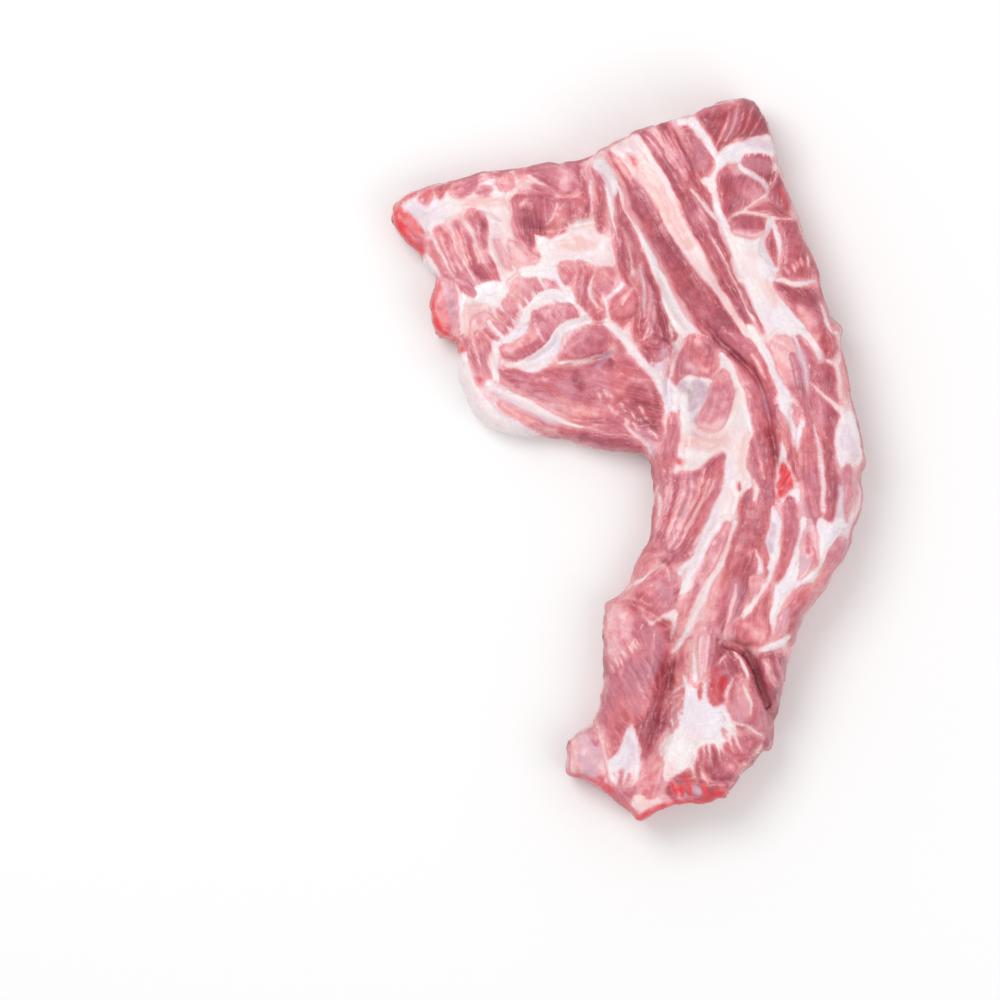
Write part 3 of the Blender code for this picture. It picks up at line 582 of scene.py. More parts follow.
    # Muscles between the sawn stumps on the right, and the fat around them
    rib_stumps: tuple = (
        # wide column of fat
        plate(0.15, (42, 152), (48, 157), (55, 158), (60, 161), (70, 163), (74, 156), (73, 151), (66, 152),
              (58, 153), (54, 149), (45, 143), (43, 137), (44, 129), (48, 118), (53, 111), (60, 110),
              (66, 111), (66, 104), (68, 97), (72, 91), (71, 85), (73, 81), (79, 76), (82, 72), (87, 68),
              (86, 64), (80, 60), (74, 58), (69, 55), (66, 64), (51, 94), (48, 103), (41, 122), (40, 131),
              (34, 139), (39, 141), (42, 146)),
        gristle(0.5, (4, 6, 5), (59, 158), (71, 156.5)),
        fat(0.0, 1.8, (57, 154), (71, 153)),
        veil(0.9, 5, (67, 88), (72, 77)),
        gristle(0.12, (6, 9, 8), (58, 104), (60, 92), (66, 74)),
        # upper stump
        teased(patch(0.5, 80, (54, 148), (57, 152), (63, 153), (69, 152), (73, 147), (69, 136), (66, 139),
                     (55, 145))),
        gristle(0.3, (5, 7, 6), (58, 148), (68, 146)),
        tint(0.9, (3, 4), (70, 141), (69, 138)),
        patch(0.5, 75, (43, 142), (44, 131), (46, 123), (49, 120), (51, 123), (56, 126), (62, 127),
              (68, 134), (65, 138), (55, 142), (52, 148)),
        tint(0.8, 7, (46, 139), (48, 124)),
        blood(0.2, 5, (45, 140), (46, 131), (48, 123)),
        tint(0.0, (8, 9), (57, 135), (61, 133)),
        tint(-0.6, (3, 4), (51, 147), (53, 144)),
        fat(0.1, (2, 2.4, 2.4, 2.6, 2), (54, 147), (57, 143), (66, 138.5), (69, 133)),
        gristle(0.6, (1.5, 2.2, 2.2, 1.5), (60, 141.5), (65, 139), (68, 136), (69, 132)),
        patch(0.65, 80, (71, 143), (74, 144), (78, 136), (80, 128), (79, 124), (70, 129), (71, 138)),
        tint(1.0, 3, (74, 141), (75, 138), (74, 135)),
        blood(0.6, 2.6, (75, 136), (77.5, 127)),
        muscle(0.95, (3, 4, 4, 3), (78, 145), (86, 118)),
        fat(0.4, 1.5, (73, 148), (73, 142), (71, 136)),
        patch(0.55, 0, (58, 124), (64, 126), (69, 128), (80, 123), (78, 121.5), (70, 122)),
        fat(0.15, (1.4, 2.0, 1.8), (57, 125), (68, 131.5)),
        patch(0.55, 85, (50, 120), (56, 122), (69, 120), (69, 115), (66, 112), (60, 110.5), (54, 111),
              (50, 114)),
        tint(-0.75, 5, (51, 112.5), (59, 111), (67, 112)),
        fat(0.1, (1.8, 2.2, 2.0, 2.0, 1.8), (56, 123.5), (74, 120.5), (80, 121)),
        fat(0.15, 2.0, (50, 120.5), (53, 122.5), (57, 123)),
        # middle stump
        plate(0.1, (67, 120), (72, 120), (74.5, 112), (75, 96), (72, 93), (67, 95), (64.5, 101), (66, 109)),
        gristle(0.55, (2, 3.4, 3.4, 2), (69, 118), (66.5, 108), (67, 101), (70, 95)),
        muscle(0.65, (1.5, 3.6, 4, 3.2, 1.6), (70, 114), (69.5, 109), (72.5, 97)),
        patch(0.6, 80, (73, 120), (82, 120), (87, 119), (90, 108), (92, 98), (91, 91), (78, 90), (75, 92),
              (74.5, 98), (75.5, 106), (74.5, 113)),
        tint(0.75, 5, (84, 106), (85, 101), (84, 96)),
        *fan(tint(-0.7, 1.5, (0, 0)), ((77, 94), (78, 93), (79, 91.5)),
             ((87, 102), (87.5, 100), (88, 97.5)), 5, 37, 0.4),
        # a muscle along the right edge, its dark tone painted shade of the side falling away there
        muscle(1.0, (4, 5, 5, 4), (87, 119), (91, 109), (96, 90)),
        fat(0.1, (1.8, 2.4, 2.4, 2, 1.6), (71, 87), (75, 89.5), (80, 87.5), (85, 87), (91, 90)),
        # lower stump
        patch(0.4, -35, (71, 88), (83, 85), (91, 86.5), (95, 82), (95, 74), (97, 68), (94, 62), (88, 65),
              (81, 73), (79, 78)),
        tint(0.9, (4, 6, 5), (75, 85.5), (90, 79)),
        tint(-0.5, (4, 6, 5), (84, 76), (88, 71), (90, 66)),
        muscle(0.2, 4, (98, 82), (100, 73), (103, 66)),
        fat(0.1, (1.8, 2.8, 2.8, 2.2), (96, 84), (96, 76), (100, 63)),
        muscle(0.45, (5, 9, 9, 5), (97, 64), (99, 56), (98, 51)),
        tint(0.9, 4, (96, 62), (95.5, 58), (97, 54)),
        fat(0.25, (2, 3, 3, 2), (103, 64), (105, 54), (104, 49)),
        muscle(-0.4, (3, 4, 4, 3), (105, 62), (109, 42), (110, 32)),
        patch(-0.8, -75, (70, 59), (76, 61), (81, 58), (82, 50), (84, 32), (83, 27), (79, 31), (71, 49)),
        tint(-0.2, (3, 4, 4), (76, 46), (81, 32)),
        veil(0.6, 6, (70, 60), (75, 58), (79, 55)),
        muscle(0.35, (3, 5, 5, 5, 4), (83, 60), (89, 50), (93, 36)),
        muscle(0.5, (3, 5, 5, 5, 5, 5, 4), (80.5, 52), (84, 40), (86, 26), (90, 12)),
        gristle(0.35, 4, (81, 50), (84, 38)),
        fat(0.2, (1.5, 2.2, 2.4, 2, 1.4), (82, 60), (88, 40), (88, 34)),
        gristle(0.8, (2, 3.2, 3.6, 3, 2), (81.5, 59), (88, 39), (88, 33)),
        fat(0.05, (2.2, 2.8, 2.6, 1.8), (84, 63), (89, 61), (92, 56), (93.5, 50)),
        gristle(0.5, (2, 3), (93, 53), (95, 48)),
        # red muscle below them
        patch(0.4, -75, (88, 34), (90, 42), (93, 47), (97, 48), (102, 46), (104, 40), (104, 25), (101, 12),
              (101, 4), (97, -1), (94, 6), (88, 28)),
        tint(0.85, (4, 6, 5), (99, 44), (98, 31)),
        tint(0.85, 6, (100, 27), (102, 22), (101, 17)),
        tint(0.0, 5, (92, 32), (95, 12)),
        fat(0.5, (1.4, 2.2, 2.8, 3.4, 3.4), (90, 39), (94, 34), (108, 22)),
        fat(0.4, (2, 3, 3, 2), (98, 49), (103, 46), (105, 31)),
    )
    # Strands round the long dark groove, between the wide end and the neck end
    waist: tuple = (
        # pale tissue left of the groove
        plate(0.25, (43, 53), (49, 53), (52, 45), (57.5, 28), (58.5, 20), (60.5, 12), (58, 5), (58, -5),
              (60, -12), (54, -22), (53, -28), (49, -31), (46, -36), (42, -40), (38, -52), (34, -58),
              (30, -66), (25, -66), (28, -55), (44, -15), (46, -8), (46, 2), (42, 1), (33, -5), (27, -5.5),
              (22, -8), (24, -2), (25, 8), (26, 18), (34, 18), (42, 14), (47, 18), (51, 34), (48, 42),
              (44, 47)),
        veil(0.85, (5, 9, 8, 5), (28, 8), (34, 9), (41, 8), (46, 10)),
        veil(0.7, 4, (57, 12), (54, -6)),
        gristle(0.15, (5, 6, 5), (42, -20), (40, -32), (35, -44)),
        blood(0.7, (2.2, 2.6), (24.5, -0.5), (25.5, -1.5)),
        muscle(0.3, 2.4, (54, -12), (54, -15)),
        muscle(-0.3, 4, (59, -16), (55, -25)),
        blood(0.6, (2, 3.4, 3, 2), (58.5, -16.5), (56.5, -20), (54.5, -27)),
        # muscles on both sides of the groove
        muscle(0.3, (10, 13, 14, 14.5, 14, 13, 12, 11, 11), (47, 62), (58, 49), (65, 31), (68, 1),
               (67.5, -8)),
        tint(0.6, (4, 5, 4, 4, 3), (43, 61), (49, 55), (60, 46), (64, 39)),
        tint(0.55, (3, 4, 5, 4), (67, 40), (70, 30), (72, 10)),
        tint(-0.3, (2, 3, 3), (50, 49), (55, 38), (58.5, 27)),
        tint(-0.7, 1.8, (60, 52), (66.5, 41)),
        gristle(0.6, (1.0, 1.5, 1.5, 1.0), (64, 38), (69, 19)),
        fat(0.0, (3, 4, 4.5, 4.5, 5, 5.5), (59, 66), (67, 52), (77, 31)),
        plate(0.05, (71, 31), (75, 33), (84, 28), (87, 16), (84, 11), (82, 2), (81, 4), (78, 20), (74, 25)),
        muscle(-0.3, (2, 4, 4, 2), (81, 27), (82.5, 23.5), (82, 17)),
        # round muscle and the cartilage under it
        patch(0.1, 80, (26, 60), (30, 62), (36, 61), (43, 52), (43, 46), (41, 42), (36, 41), (30, 42.5),
              (26, 42), (24, 37), (22, 40), (24, 53)),
        tint(0.6, 6, (37, 57), (39, 51), (36, 45)),
        tint(-0.5, 5, (29, 47), (38, 45)),
        tint(-0.5, (3, 4), (30, 60), (33, 58)),
        plate(0.0, (24, 39), (28, 42), (34, 41.5), (40, 40.5), (40, 36), (35, 26), (28, 17), (26, 20),
              (25, 28), (23, 33)),
        gristle(0.8, 5, (27, 38), (26, 36), (28, 34)),
        gristle(0.95, (4, 7, 6, 3), (33, 38), (35, 35), (31, 26)),
        gristle(0.5, (3, 4, 4), (32, 24), (32, 13)),
        # a groove down the cartilage; its dark is painted shade
        cleft(0.6, (0.8, 1.4, 1.2, 0.6), (30, 38.5), (29.3, 26)),
        patch(-0.3, 68, (46, 44.5), (51, 35), (50, 28), (45, 16), (40, 12.5), (35, 15), (33.5, 20),
              (38, 31), (38.5, 36)),
        tint(-1.1, 6, (35, 17), (40, 15), (45, 18)),
        veil(0.7, 7, (32, 15), (39, 11.5), (46, 13)),
        fat(0.35, 1.6, (41, 42), (44, 46), (44, 51)),
        fat(0.1, 2, (24, 60), (30, 63), (38, 61)),
        fat(0.15, (1.4, 2, 1.8, 1.4), (27, 60), (24, 55), (21, 43)),
        patch(0.3, 80, (20.5, 24), (23, 24), (24.5, 17), (23.5, 2), (21, -6), (16, -8), (15, 1), (18, 16)),
    )
    # The strip below the flap: long strands that draw together towards the neck end
    lower_run: tuple = (
        # strips that lean to the left
        patch(0.25, 65, (12, 2), (16, 3), (22, -8), (28, -6.5), (34, -5.5), (42, 2), (46, 3), (45, -4),
              (46, -10), (43, -17), (31, -42), (27, -50), (20, -52), (12, -49), (8, -45), (12, -38),
              (12, -26), (12, -12)),
        tint(0.6, (4, 5, 5, 4), (25, -9), (24, -18), (21, -28), (16, -39)),
        tint(0.55, (4, 5, 5, 4), (38, -9), (25, -36)),
        tint(0.6, 4, (43, 0), (36, -8)),
        gristle(0.3, 5, (31, -10), (30, -18), (26, -28)),
        *fan(fat(0.45, (0.9, 1.5, 1.3), (0, 0)), ((29, -10), (26, -24), (19, -40)),
             ((44, -9), (37, -22), (29, -34)), 3, 31, 0.1),
        *fan(tint(-0.8, 1.6, (0, 0)), ((17, -6), (18, -20), (14, -36)), ((40, -8), (34, -24), (24, -42)), 7,
             30),
        fat(0.2, (1.6, 2.4, 2.4, 1.6), (14, -14), (15.5, -21), (13, -34)),
        fat(0.3, 1.8, (20, -12), (18, -18)),
        fat(0.05, (1.2, 2, 2, 1.4), (39.5, -29), (29, -46)),
        fat(0.15, (1.4, 2.2, 1.8), (31, -48), (24, -56)),
        muscle(0.0, (4, 6, 6, 4), (4, -57), (8, -51), (14, -47), (20, -49)),
        # salmon and red strips beside the white band
        muscle(-0.45, (4, 5.5, 5.5, 5.5, 5, 5, 4), (48, -33), (23, -86)),
        tint(0.2, 3, (33, -62), (28, -78)),
        muscle(0.4, (8, 12, 15, 16, 16, 15, 15, 12, 7), (60, -18), (60, -34), (55, -52), (44, -80),
               (42, -88)),
        tint(0.6, (5, 7, 6), (62, -28), (62, -38), (59, -47)),
        tint(1.0, (3, 4, 4, 3), (58, -50), (55.5, -66), (53, -76)),
        gristle(0.3, (4, 6, 6, 4), (53, -60), (51, -73), (51, -79)),
        tint(-0.4, (4, 6, 6, 4), (44, -60), (41, -69), (40, -78), (42, -86)),
        fat(0.15, (1.6, 2.2, 2.4, 3, 4, 4.4, 4, 3, 2), (52, -31), (50, -38), (42, -56), (37, -64),
            (26, -88), (21, -95)),
        tint(-1.2, (1.0, 1.5, 1.3, 1.0), (52.5, -62), (47, -88)),
        # strands above and beside the white oval
        muscle(0.15, (4, 6, 6, 5), (61, 9), (65, -16)),
        muscle(0.45, (5, 7, 7, 6, 5, 4), (69, 10), (69, -10), (67, -40)),
        fat(0.4, 3, (61, -10), (62.5, -15), (61, -20)),
        tint(-0.9, 1.8, (64, 0), (66, -10)),
        muscle(0.5, (3, 4.4, 4, 2), (66, -38), (67.5, -51), (67, -57)),
        fat(0.0, (2, 5, 7.5, 7.5, 6, 3), (71, -23), (71, -43), (71, -49), (69, -54)),
        gristle(0.9, 4, (70, -33), (69.8, -45)),
        muscle(0.15, (2, 3.6, 4, 4, 3.6, 3), (72, 26), (74, 19), (77, 12), (82, -9)),
        plate(0.0, (74.5, 10), (73, 3), (71.5, -12), (73, -18), (80, -23), (83, -20), (82, -12), (78, 3)),
        blood(1.0, (3, 6.5, 8, 7.5, 4), (76, -3), (77, -11), (75.5, -17)),
        tint(0.7, 3, (76, -5), (76, -13)),
        fat(0.0, (1.6, 2.8, 3.4, 2), (62, -45), (64, -53), (64, -57)),
        # strands on the right
        muscle(0.15, (4, 8, 9, 9.5, 9, 8, 4), (87, 14), (88, 0), (92, -31)),
        tint(0.5, 4, (86, -20), (88, -28)),
        gristle(0.4, 4, (85, -21), (88, -28)),
        muscle(0.6, (3, 6, 7.5, 7.5, 6, 4), (98, 4), (101, -17), (98, -31)),
        fat(0.05, (1.6, 2.2, 2.6, 2.6, 2.2, 3), (91, 17), (95, 0), (96, -8), (95.5, -25)),
        plate(0.2, (102, 18), (110, 25), (114, 18), (118, 6), (119, -1), (113, -2), (107, -4), (103, 0),
              (101, 8)),
        gristle(0.4, 7, (106, 16), (108, 8), (112, 2)),
        muscle(-0.1, (3, 7, 8, 7, 5, 3), (109, -3), (108, -12), (109, -18), (107, -29)),
        muscle(0.2, 5, (117, -2), (117, -7), (115, -12)),
        fat(0.15, (2, 3.6, 4.6, 4.6, 3), (114, -9), (114.5, -17), (109, -38)),
        fat(0.1, (2.5, 4, 5, 4), (104, -13), (105, -20), (104, -28), (106, -35)),
        gristle(0.5, (3, 4, 4, 3), (104, -12), (105, -20), (104, -28), (106, -34)),
        plate(0.0, (94, -29), (100, -31), (104, -28), (107, -32), (100, -43), (94, -54), (92, -50),
              (92, -42), (90, -36)),
        patch(-0.2, 55, (111, -41), (106, -40), (102, -42), (94, -56), (82, -67), (77, -73), (79, -90),
              (83, -94), (86, -84), (91, -74), (98, -66), (110, -48)),
        tint(0.25, (3, 4, 4, 3), (103, -58), (88, -76), (83, -87)),
        tint(0.5, (4, 6, 5), (86, -72), (82, -80), (80, -90)),
        blood(0.15, (4, 7, 7, 5), (107, -46), (101, -55), (86, -72)),
        muscle(-0.8, (4, 8, 10, 9, 5), (88, -31), (88, -53), (86, -58)),
        gristle(0.8, (2, 5, 6, 3), (84, -45), (86, -55)),
        gristle(0.5, (2, 3, 3), (88, -31), (85, -40)),
        tint(0.1, 3.6, (88, -37), (89, -42), (88, -46)),
        tint(0.1, 2.6, (91, -44), (91.5, -48), (89, -54)),
        fat(0.3, 1.8, (89, -52), (87, -56), (84, -59)),
        muscle(0.25, (4, 8, 8.5, 8, 6, 4), (79, -20), (79, -44), (73, -59)),
        fat(0.05, (3, 3, 4, 6, 7.5, 5, 4, 3), (86, -30), (85, -38), (81, -54), (78, -61), (73, -68),
            (71, -86)),
        fat(0.1, 5, (94, -53), (90, -59), (83, -63)),
        muscle(-0.2, (3, 6, 6, 4), (79, -74), (73, -92)),
        gristle(0.4, 5, (78, -75), (74, -87)),
        patch(-0.35, 70, (59, -58), (64, -57), (67, -59), (65, -64), (59.5, -71)),
        patch(0.1, 78, (69, -60), (70, -70), (69, -80), (70, -88), (66, -92), (58, -92), (52, -90),
              (51, -84), (55, -79), (61, -77), (62, -70)),
        tint(0.5, (2, 3.4, 3), (67, -65), (68, -83)),
        tint(-0.4, (3, 4, 4), (57, -82), (66, -89)),
        fat(0.1, (2, 2.8, 2.8, 4, 3), (70, -54), (68, -60), (56, -78)),
        fat(0.2, (2, 4, 4.5, 3), (64, -95), (74, -92), (79, -88)),
    )

    def strands(self) -> list[Strand]:
        """The strands in the order they are laid."""
        return [*self.flap_border, *self.wide_end, *self.rib_stumps, *self.waist, *self.lower_run]


@dataclass
class NeckEnd:
    """The neck end: its lobe on the left, the dark valley, the bone plate and the deep cleft."""

    seed: int = 3
    ticks: int = 8
    # The smooth muscle on the left and the valley beside it
    lobe: tuple = (
        # small muscle above the lobe
        patch(-0.1, 55, (1, -63), (7, -60), (17, -53), (23, -60), (22, -72), (12, -79), (8, -77), (2, -69)),
        tint(0.4, 4, (4, -68), (9, -71), (13, -75)),
        gristle(0.25, (4, 6, 5), (10, -62), (15, -64), (19, -68)),
        muscle(-0.5, 4, (-7, -69), (6, -59)),
        fat(0.25, (1.6, 2.0, 2.0, 1.6), (-8, -69), (16.5, -52.5)),
        fat(0.25, 1.8, (17, -52.5), (19, -56), (20, -60)),
        tint(1.2, (2.4, 2.6), (19, -52.5), (20, -53.5)),
        tint(1.2, 3, (23, -65), (23, -70)),
        fat(0.1, (1.5, 3, 3, 2), (31, -53), (24.5, -67)),
        plate(0.2, (8, -79), (12, -79), (21, -74), (23, -78), (22, -87), (20, -87), (19, -80), (14, -80),
              (9, -84)),
        # the lobe
        patch(0.25, -62, (-13, -71), (0, -70), (4, -74), (10, -83), (14, -80.5), (18, -81.5), (20, -87),
              (19, -106), (14, -124), (9, -131), (3, -133), (0, -130), (-3, -134), (-9, -149), (-15, -136),
              (-18, -130), (-15, -121), (-13, -110), (-14, -84)),
        tint(-0.6, (11, 15, 15, 9), (-8, -76), (-6, -84), (-6, -91), (-8, -97)),
        # darker on the lobe's right side where it falls into the valley: painted shade
        tint(0.4, (12, 16, 16, 10), (10, -92), (4, -116), (7, -125)),
        gristle(0.22, (8, 13, 13, 8), (13, -88), (4, -112), (3, -123)),
        tint(0.1, 7, (-12, -120), (-9, -140)),
        tint(-0.5, 4, (-14, -133), (-12.5, -141), (-10, -147)),
        # darker streaks towards the valley: painted shade
        *fan(tint(0.95, 1.8, (0, 0)), ((1, -104), (6, -112), (10, -121)),
             ((11, -96), (15, -104), (17, -112)), 4, 41),
        *fan(tint(0.05, 1.6, (0, 0)), ((-6, -106), (0, -116), (5, -126)),
             ((8, -98), (12, -107), (15, -116)), 4, 42),
        # valley: its dark tone and the clefts in it are painted shade
        patch(0.75, 75, (21, -96), (22.5, -102), (21, -111), (19, -128), (12, -142), (9, -150), (6, -147),
              (3, -139), (1, -132), (6, -131), (10, -126), (16, -110), (18, -102)),
        tint(0.5, 4, (3, -134), (6, -140), (8, -147)),
        muscle(-0.2, (3, 5, 6, 5, 3), (25, -97), (24, -105), (24, -114), (21, -130)),
        cleft(0.7, 1.8, (21, -86), (20.5, -94)),
        cleft(1.0, (0.8, 1.8, 2.0, 1.0), (21.5, -97), (18.8, -117)),
        # white diamond and the lilac corner
        plate(0.12, (0, -131), (2.5, -136), (6.5, -148), (0, -156), (-4, -153), (-8, -156), (-11, -150),
              (-7, -146), (-2, -135)),
        muscle(-0.3, 9, (-6, -158), (0, -161), (6, -158)),
        *fan(fat(0.3, (1.2, 2.4, 1.0), (0, 0)), ((-8, -153), (-7, -158), (-8, -163)),
             ((5, -151), (4, -157), (1, -163)), 4, 48),
        gristle(0.45, (2, 4, 4, 2), (-1, -139), (1, -145), (-2, -154)),
        patch(-0.65, 80, (-31, -140), (-25, -136), (-19, -133), (-16, -139), (-12, -154), (-15, -159),
              (-22, -158), (-31, -157), (-32, -148)),
        gristle(0.75, (6, 11, 10, 6), (-23, -141), (-20, -147), (-19, -153), (-21, -158)),
        gristle(0.3, (3, 4), (-24, -137), (-20, -135)),
        muscle(-0.25, 5, (-19, -134), (-17, -142)),
        fat(0.25, (1.4, 2.0, 1.8), (-17, -132), (-12.5, -148)),
        fat(0.4, (2, 3, 3), (-13, -147), (-9, -160)),
        patch(0.15, -40, (-12, -158), (-7, -164), (0, -163), (3, -165), (0, -169), (-2, -173), (-9, -170),
              (-17, -164), (-17, -159)),
        blood(0.45, 4, (-16, -159), (-9, -166)),
        patch(-0.45, 75, (11, -146), (16, -155), (12, -167), (8, -168), (6, -164), (9, -152)),
        blood(0.3, (3, 6, 7, 5), (13, -149), (9, -166)),
        plate(0.7, (0, -169), (5, -167), (10, -169), (14, -167), (15, -171), (9, -174), (4, -179)),
    )
    # The pale bone plate, the cavity and the sawn end on the right
    bone_side: tuple = (
        # bone plate and the pale column above it
        plate(0.03, (25, -106), (30, -109), (35, -106), (38, -112), (42, -120), (46, -121), (50, -127),
              (53, -133), (46, -141), (40, -141), (35, -143), (31, -147), (29, -152), (25, -157),
              (20, -162), (16, -158), (18, -143), (25, -130), (26, -120)),
        gristle(0.15, 9, (31, -118), (34, -130), (28, -142)),
        *fan(fat(0.15, (2.0, 1.6, 0.5), (0, 0)), ((25, -112), (21, -116), (18, -121)),
             ((24, -136), (19, -141), (15, -146)), 7, 50),
        veil(0.7, 6, (19, -149), (21, -161)),
        muscle(-0.35, (5, 10, 13, 13, 9), (35, -84), (34, -104), (33, -109)),
        gristle(0.25, (3, 6, 7, 5), (36, -88), (35, -104)),
        fat(0.1, (0.8, 1.6, 2, 2.4, 2.4), (32, -85), (31, -98), (32, -104), (32, -110)),
        fat(0.25, (0.6, 1.2, 1.4, 1.4), (36.5, -87), (36.5, -95), (35, -109)),
        muscle(-0.35, 5, (28, -90), (26.5, -98), (28, -105)),
        muscle(-0.05, 5.5, (41, -88), (42, -96), (41, -104)),
        *fan(tint(-1.4, 1.6, (0, 0)), ((30, -90), (30, -98), (31, -107)),
             ((38, -88), (38, -97), (37, -106)), 4, 44),
        fat(0.2, 2.4, (30, -96), (31, -103), (33, -109)),
        muscle(0.4, 2.8, (35, -112.5), (34.5, -118)),
        *fan(muscle(0.1, 2.2, (0, 0)), ((17, -129), (19, -131), (21, -135)),
             ((22, -127), (23, -130), (24, -133)), 2, 45),
        muscle(-0.7, 3, (46, -134), (49, -139)),
        # cavity with its blood spot
        patch(0.6, -60, (44, -92), (52, -92), (58, -96), (62, -103), (63, -109), (58, -109), (53, -106),
              (50, -110), (46, -120), (41, -122), (39, -116), (42, -100)),
        blood(0.5, (3, 7, 7, 4), (42, -105), (44, -110), (44, -115), (42, -120)),
        tint(1.3, (3, 3.6), (46, -110.5), (46.5, -113)),
        blood(0.95, (3, 3.4), (46, -110.5), (46.5, -112.5)),
        fat(0.2, 2.0, (44, -102), (48, -96)),
        fat(0.1, (1.6, 2.6, 2.2), (51.5, -94), (53, -98.5)),
        patch(-0.1, -80, (51, -110), (55, -109), (58, -115), (59.5, -124), (58.5, -132), (55, -134),
              (48.5, -122)),
        gristle(0.3, 7, (54, -112), (56, -130)),
        patch(0.25, -75, (60, -111), (63, -109), (66, -117), (69, -126), (71, -133), (65, -138), (60, -136),
              (59, -128), (60, -120)),
        tint(0.6, 3, (61, -113), (61, -127)),
        fat(0.1, (2.4, 2.0, 0.6), (49, -129), (55, -132), (62, -134)),
        fat(0.0, (2, 3.4, 2.8, 1.6), (54, -98), (58, -106), (58.5, -109)),
        fat(0.05, 2.6, (50.5, -108), (47, -118)),
        fat(0.0, (1.5, 2.8, 2.4, 1.8), (56, -111), (59.6, -120), (59.6, -127)),
        wrapped(patch(0.75, -75, (63, -97), (70, -96), (78, -99), (79, -108), (77, -127), (74, -133),
                      (71, -128), (63, -103))),
        fat(0.2, (1.2, 1.8, 0.8), (66, -99), (69, -103), (71, -108)),
        *fan(tint(-0.3, 1.8, (0, 0)), ((65, -98), (68, -105), (71, -113)),
             ((72, -97), (74, -104), (76, -111)), 3, 27),
        fat(0.3, 2.2, (77, -112), (77.5, -116), (76.5, -120)),
        # muscles round the sawn end
        patch(0.5, -35, (50, -139), (56, -137), (63, -138), (67, -141), (64, -148), (60, -153), (50, -147),
              (46, -144)),
        tint(0.9, 3, (54, -133), (58.5, -139)),
        fat(0.35, 2.6, (57, -133), (62, -136), (66, -137)),
        fat(0.25, (2, 3, 3), (68, -139), (62, -151)),
        muscle(1.0, 6, (70.5, -136), (69.5, -141), (67, -147)),
        patch(0.7, -80, (34, -146), (38, -142), (43, -144), (53, -150), (56, -155), (54, -159),
              (42, -160.5), (35, -152)),
        tint(0.6, 5, (37, -147), (38, -153), (41, -158)),
        *fan(fat(0.15, (2.2, 1.8, 0.5), (0, 0)), ((33, -142), (33, -147), (32, -153)),
             ((51, -136), (53, -141), (56, -145)), 7, 49),
        tint(-0.15, (5, 7), (50, -152), (53, -155)),
        tint(1.0, (2, 3, 3), (41, -159), (46, -160.5), (50, -159.5)),
        fat(0.4, (2, 3, 2.5), (57, -151), (59, -154), (56, -159)),
        patch(0.8, 0, (28, -155), (36, -160), (44, -162), (50, -162), (49, -168), (42, -170), (26, -172),
              (20, -169), (18, -163)),
        tint(-0.2, (2, 3, 3, 2), (21, -160), (24, -168), (27, -171)),
        tint(-0.3, 3, (45, -163), (48, -166)),
        gristle(0.95, (2, 4.4, 3), (30, -163.5), (34, -165.5)),
        gristle(0.85, 3, (25, -166.5), (28, -168)),
        *fan(blood(0.85, (1.2, 2.6, 1.4), (0, 0)), ((20, -162), (21.5, -165), (22, -168)),
             ((46, -163), (46.5, -165), (47.5, -167.5)), 6, 46, 0.4),
        blood(0.9, (2, 3, 3), (37, -164), (38.5, -167), (41, -168.5)),
        blood(0.6, (1.6, 2.4, 2), (27, -157), (28, -160), (30, -162)),
        fat(0.35, 1.8, (31, -150), (39, -162)),
        fat(0.2, (1.4, 2.2, 1.0), (29, -151), (32, -159)),
        muscle(0.85, 3, (33, -151), (34, -158.5)),
        wrapped(blood(1.0, (3, 5, 5, 5, 5, 4), (51, -165), (45, -169), (34, -172), (21, -173.5), (12, -176),
                      (5, -180))),
        wrapped(blood(0.7, (3, 4, 4, 4, 2.4), (3, -178), (-12, -166), (-20, -161.5), (-31, -158))),
    )
    # The deep cleft, the long groove and a few small clefts, laid last, with a dark tint along the deep
    # cleft; all their darkness is painted shade
    clefts: tuple = (
        tint(1.0, (4, 6, 7, 6, 5, 4), (44, -93), (52, -95), (60, -101), (68, -120), (71, -130)),
        cleft(2.8, (0.4, 0.7, 0.8, 0.7, 0.4, 0.2, 0.2, 0.2), (45, -92), (56, -95), (62.5, -106),
              (71, -130)),
        cleft(0.6, (0.8, 1.8, 0.8), (41, -87.5), (45, -91.5)),
        cleft(1.0, (0.4, 1.2, 1.4, 1.2, 1.0, 0.5), (40, 63), (60, 45.5), (64.5, 38), (68, 28)),
        cleft(0.6, 1.0, (64.5, 10.5), (69.5, 17)),
        cleft(0.8, 2.0, (95.8, 60.5), (95.8, 56)),
    )

    def strands(self) -> list[Strand]:
        """The strands in the order they are laid, the small ticks of fat right after the lobe."""
        draw = random.Random(self.seed)
        ticks = []
        for index in range(self.ticks):
            x = -10.5 + 1.8 * index + draw.uniform(-0.8, 0.8)
            y = -101.5 + 1.9 * index + draw.uniform(-1.5, 1.5)
            ticks.append(fat(0.5, (0.9, 2.0, 1.2), (x, y), (x + 1.2, y - 1.8), (x + 2.4, y - 4.0)))
        return [*self.lobe, *ticks, *self.bone_side, *self.clefts]


@dataclass(frozen=True)
class SidePattern:
    """Muscles and seams of a side that no strand reaches, in millimetres."""

    spacing: tuple
    shift: float
    size: float
    seam: float
    feather: float


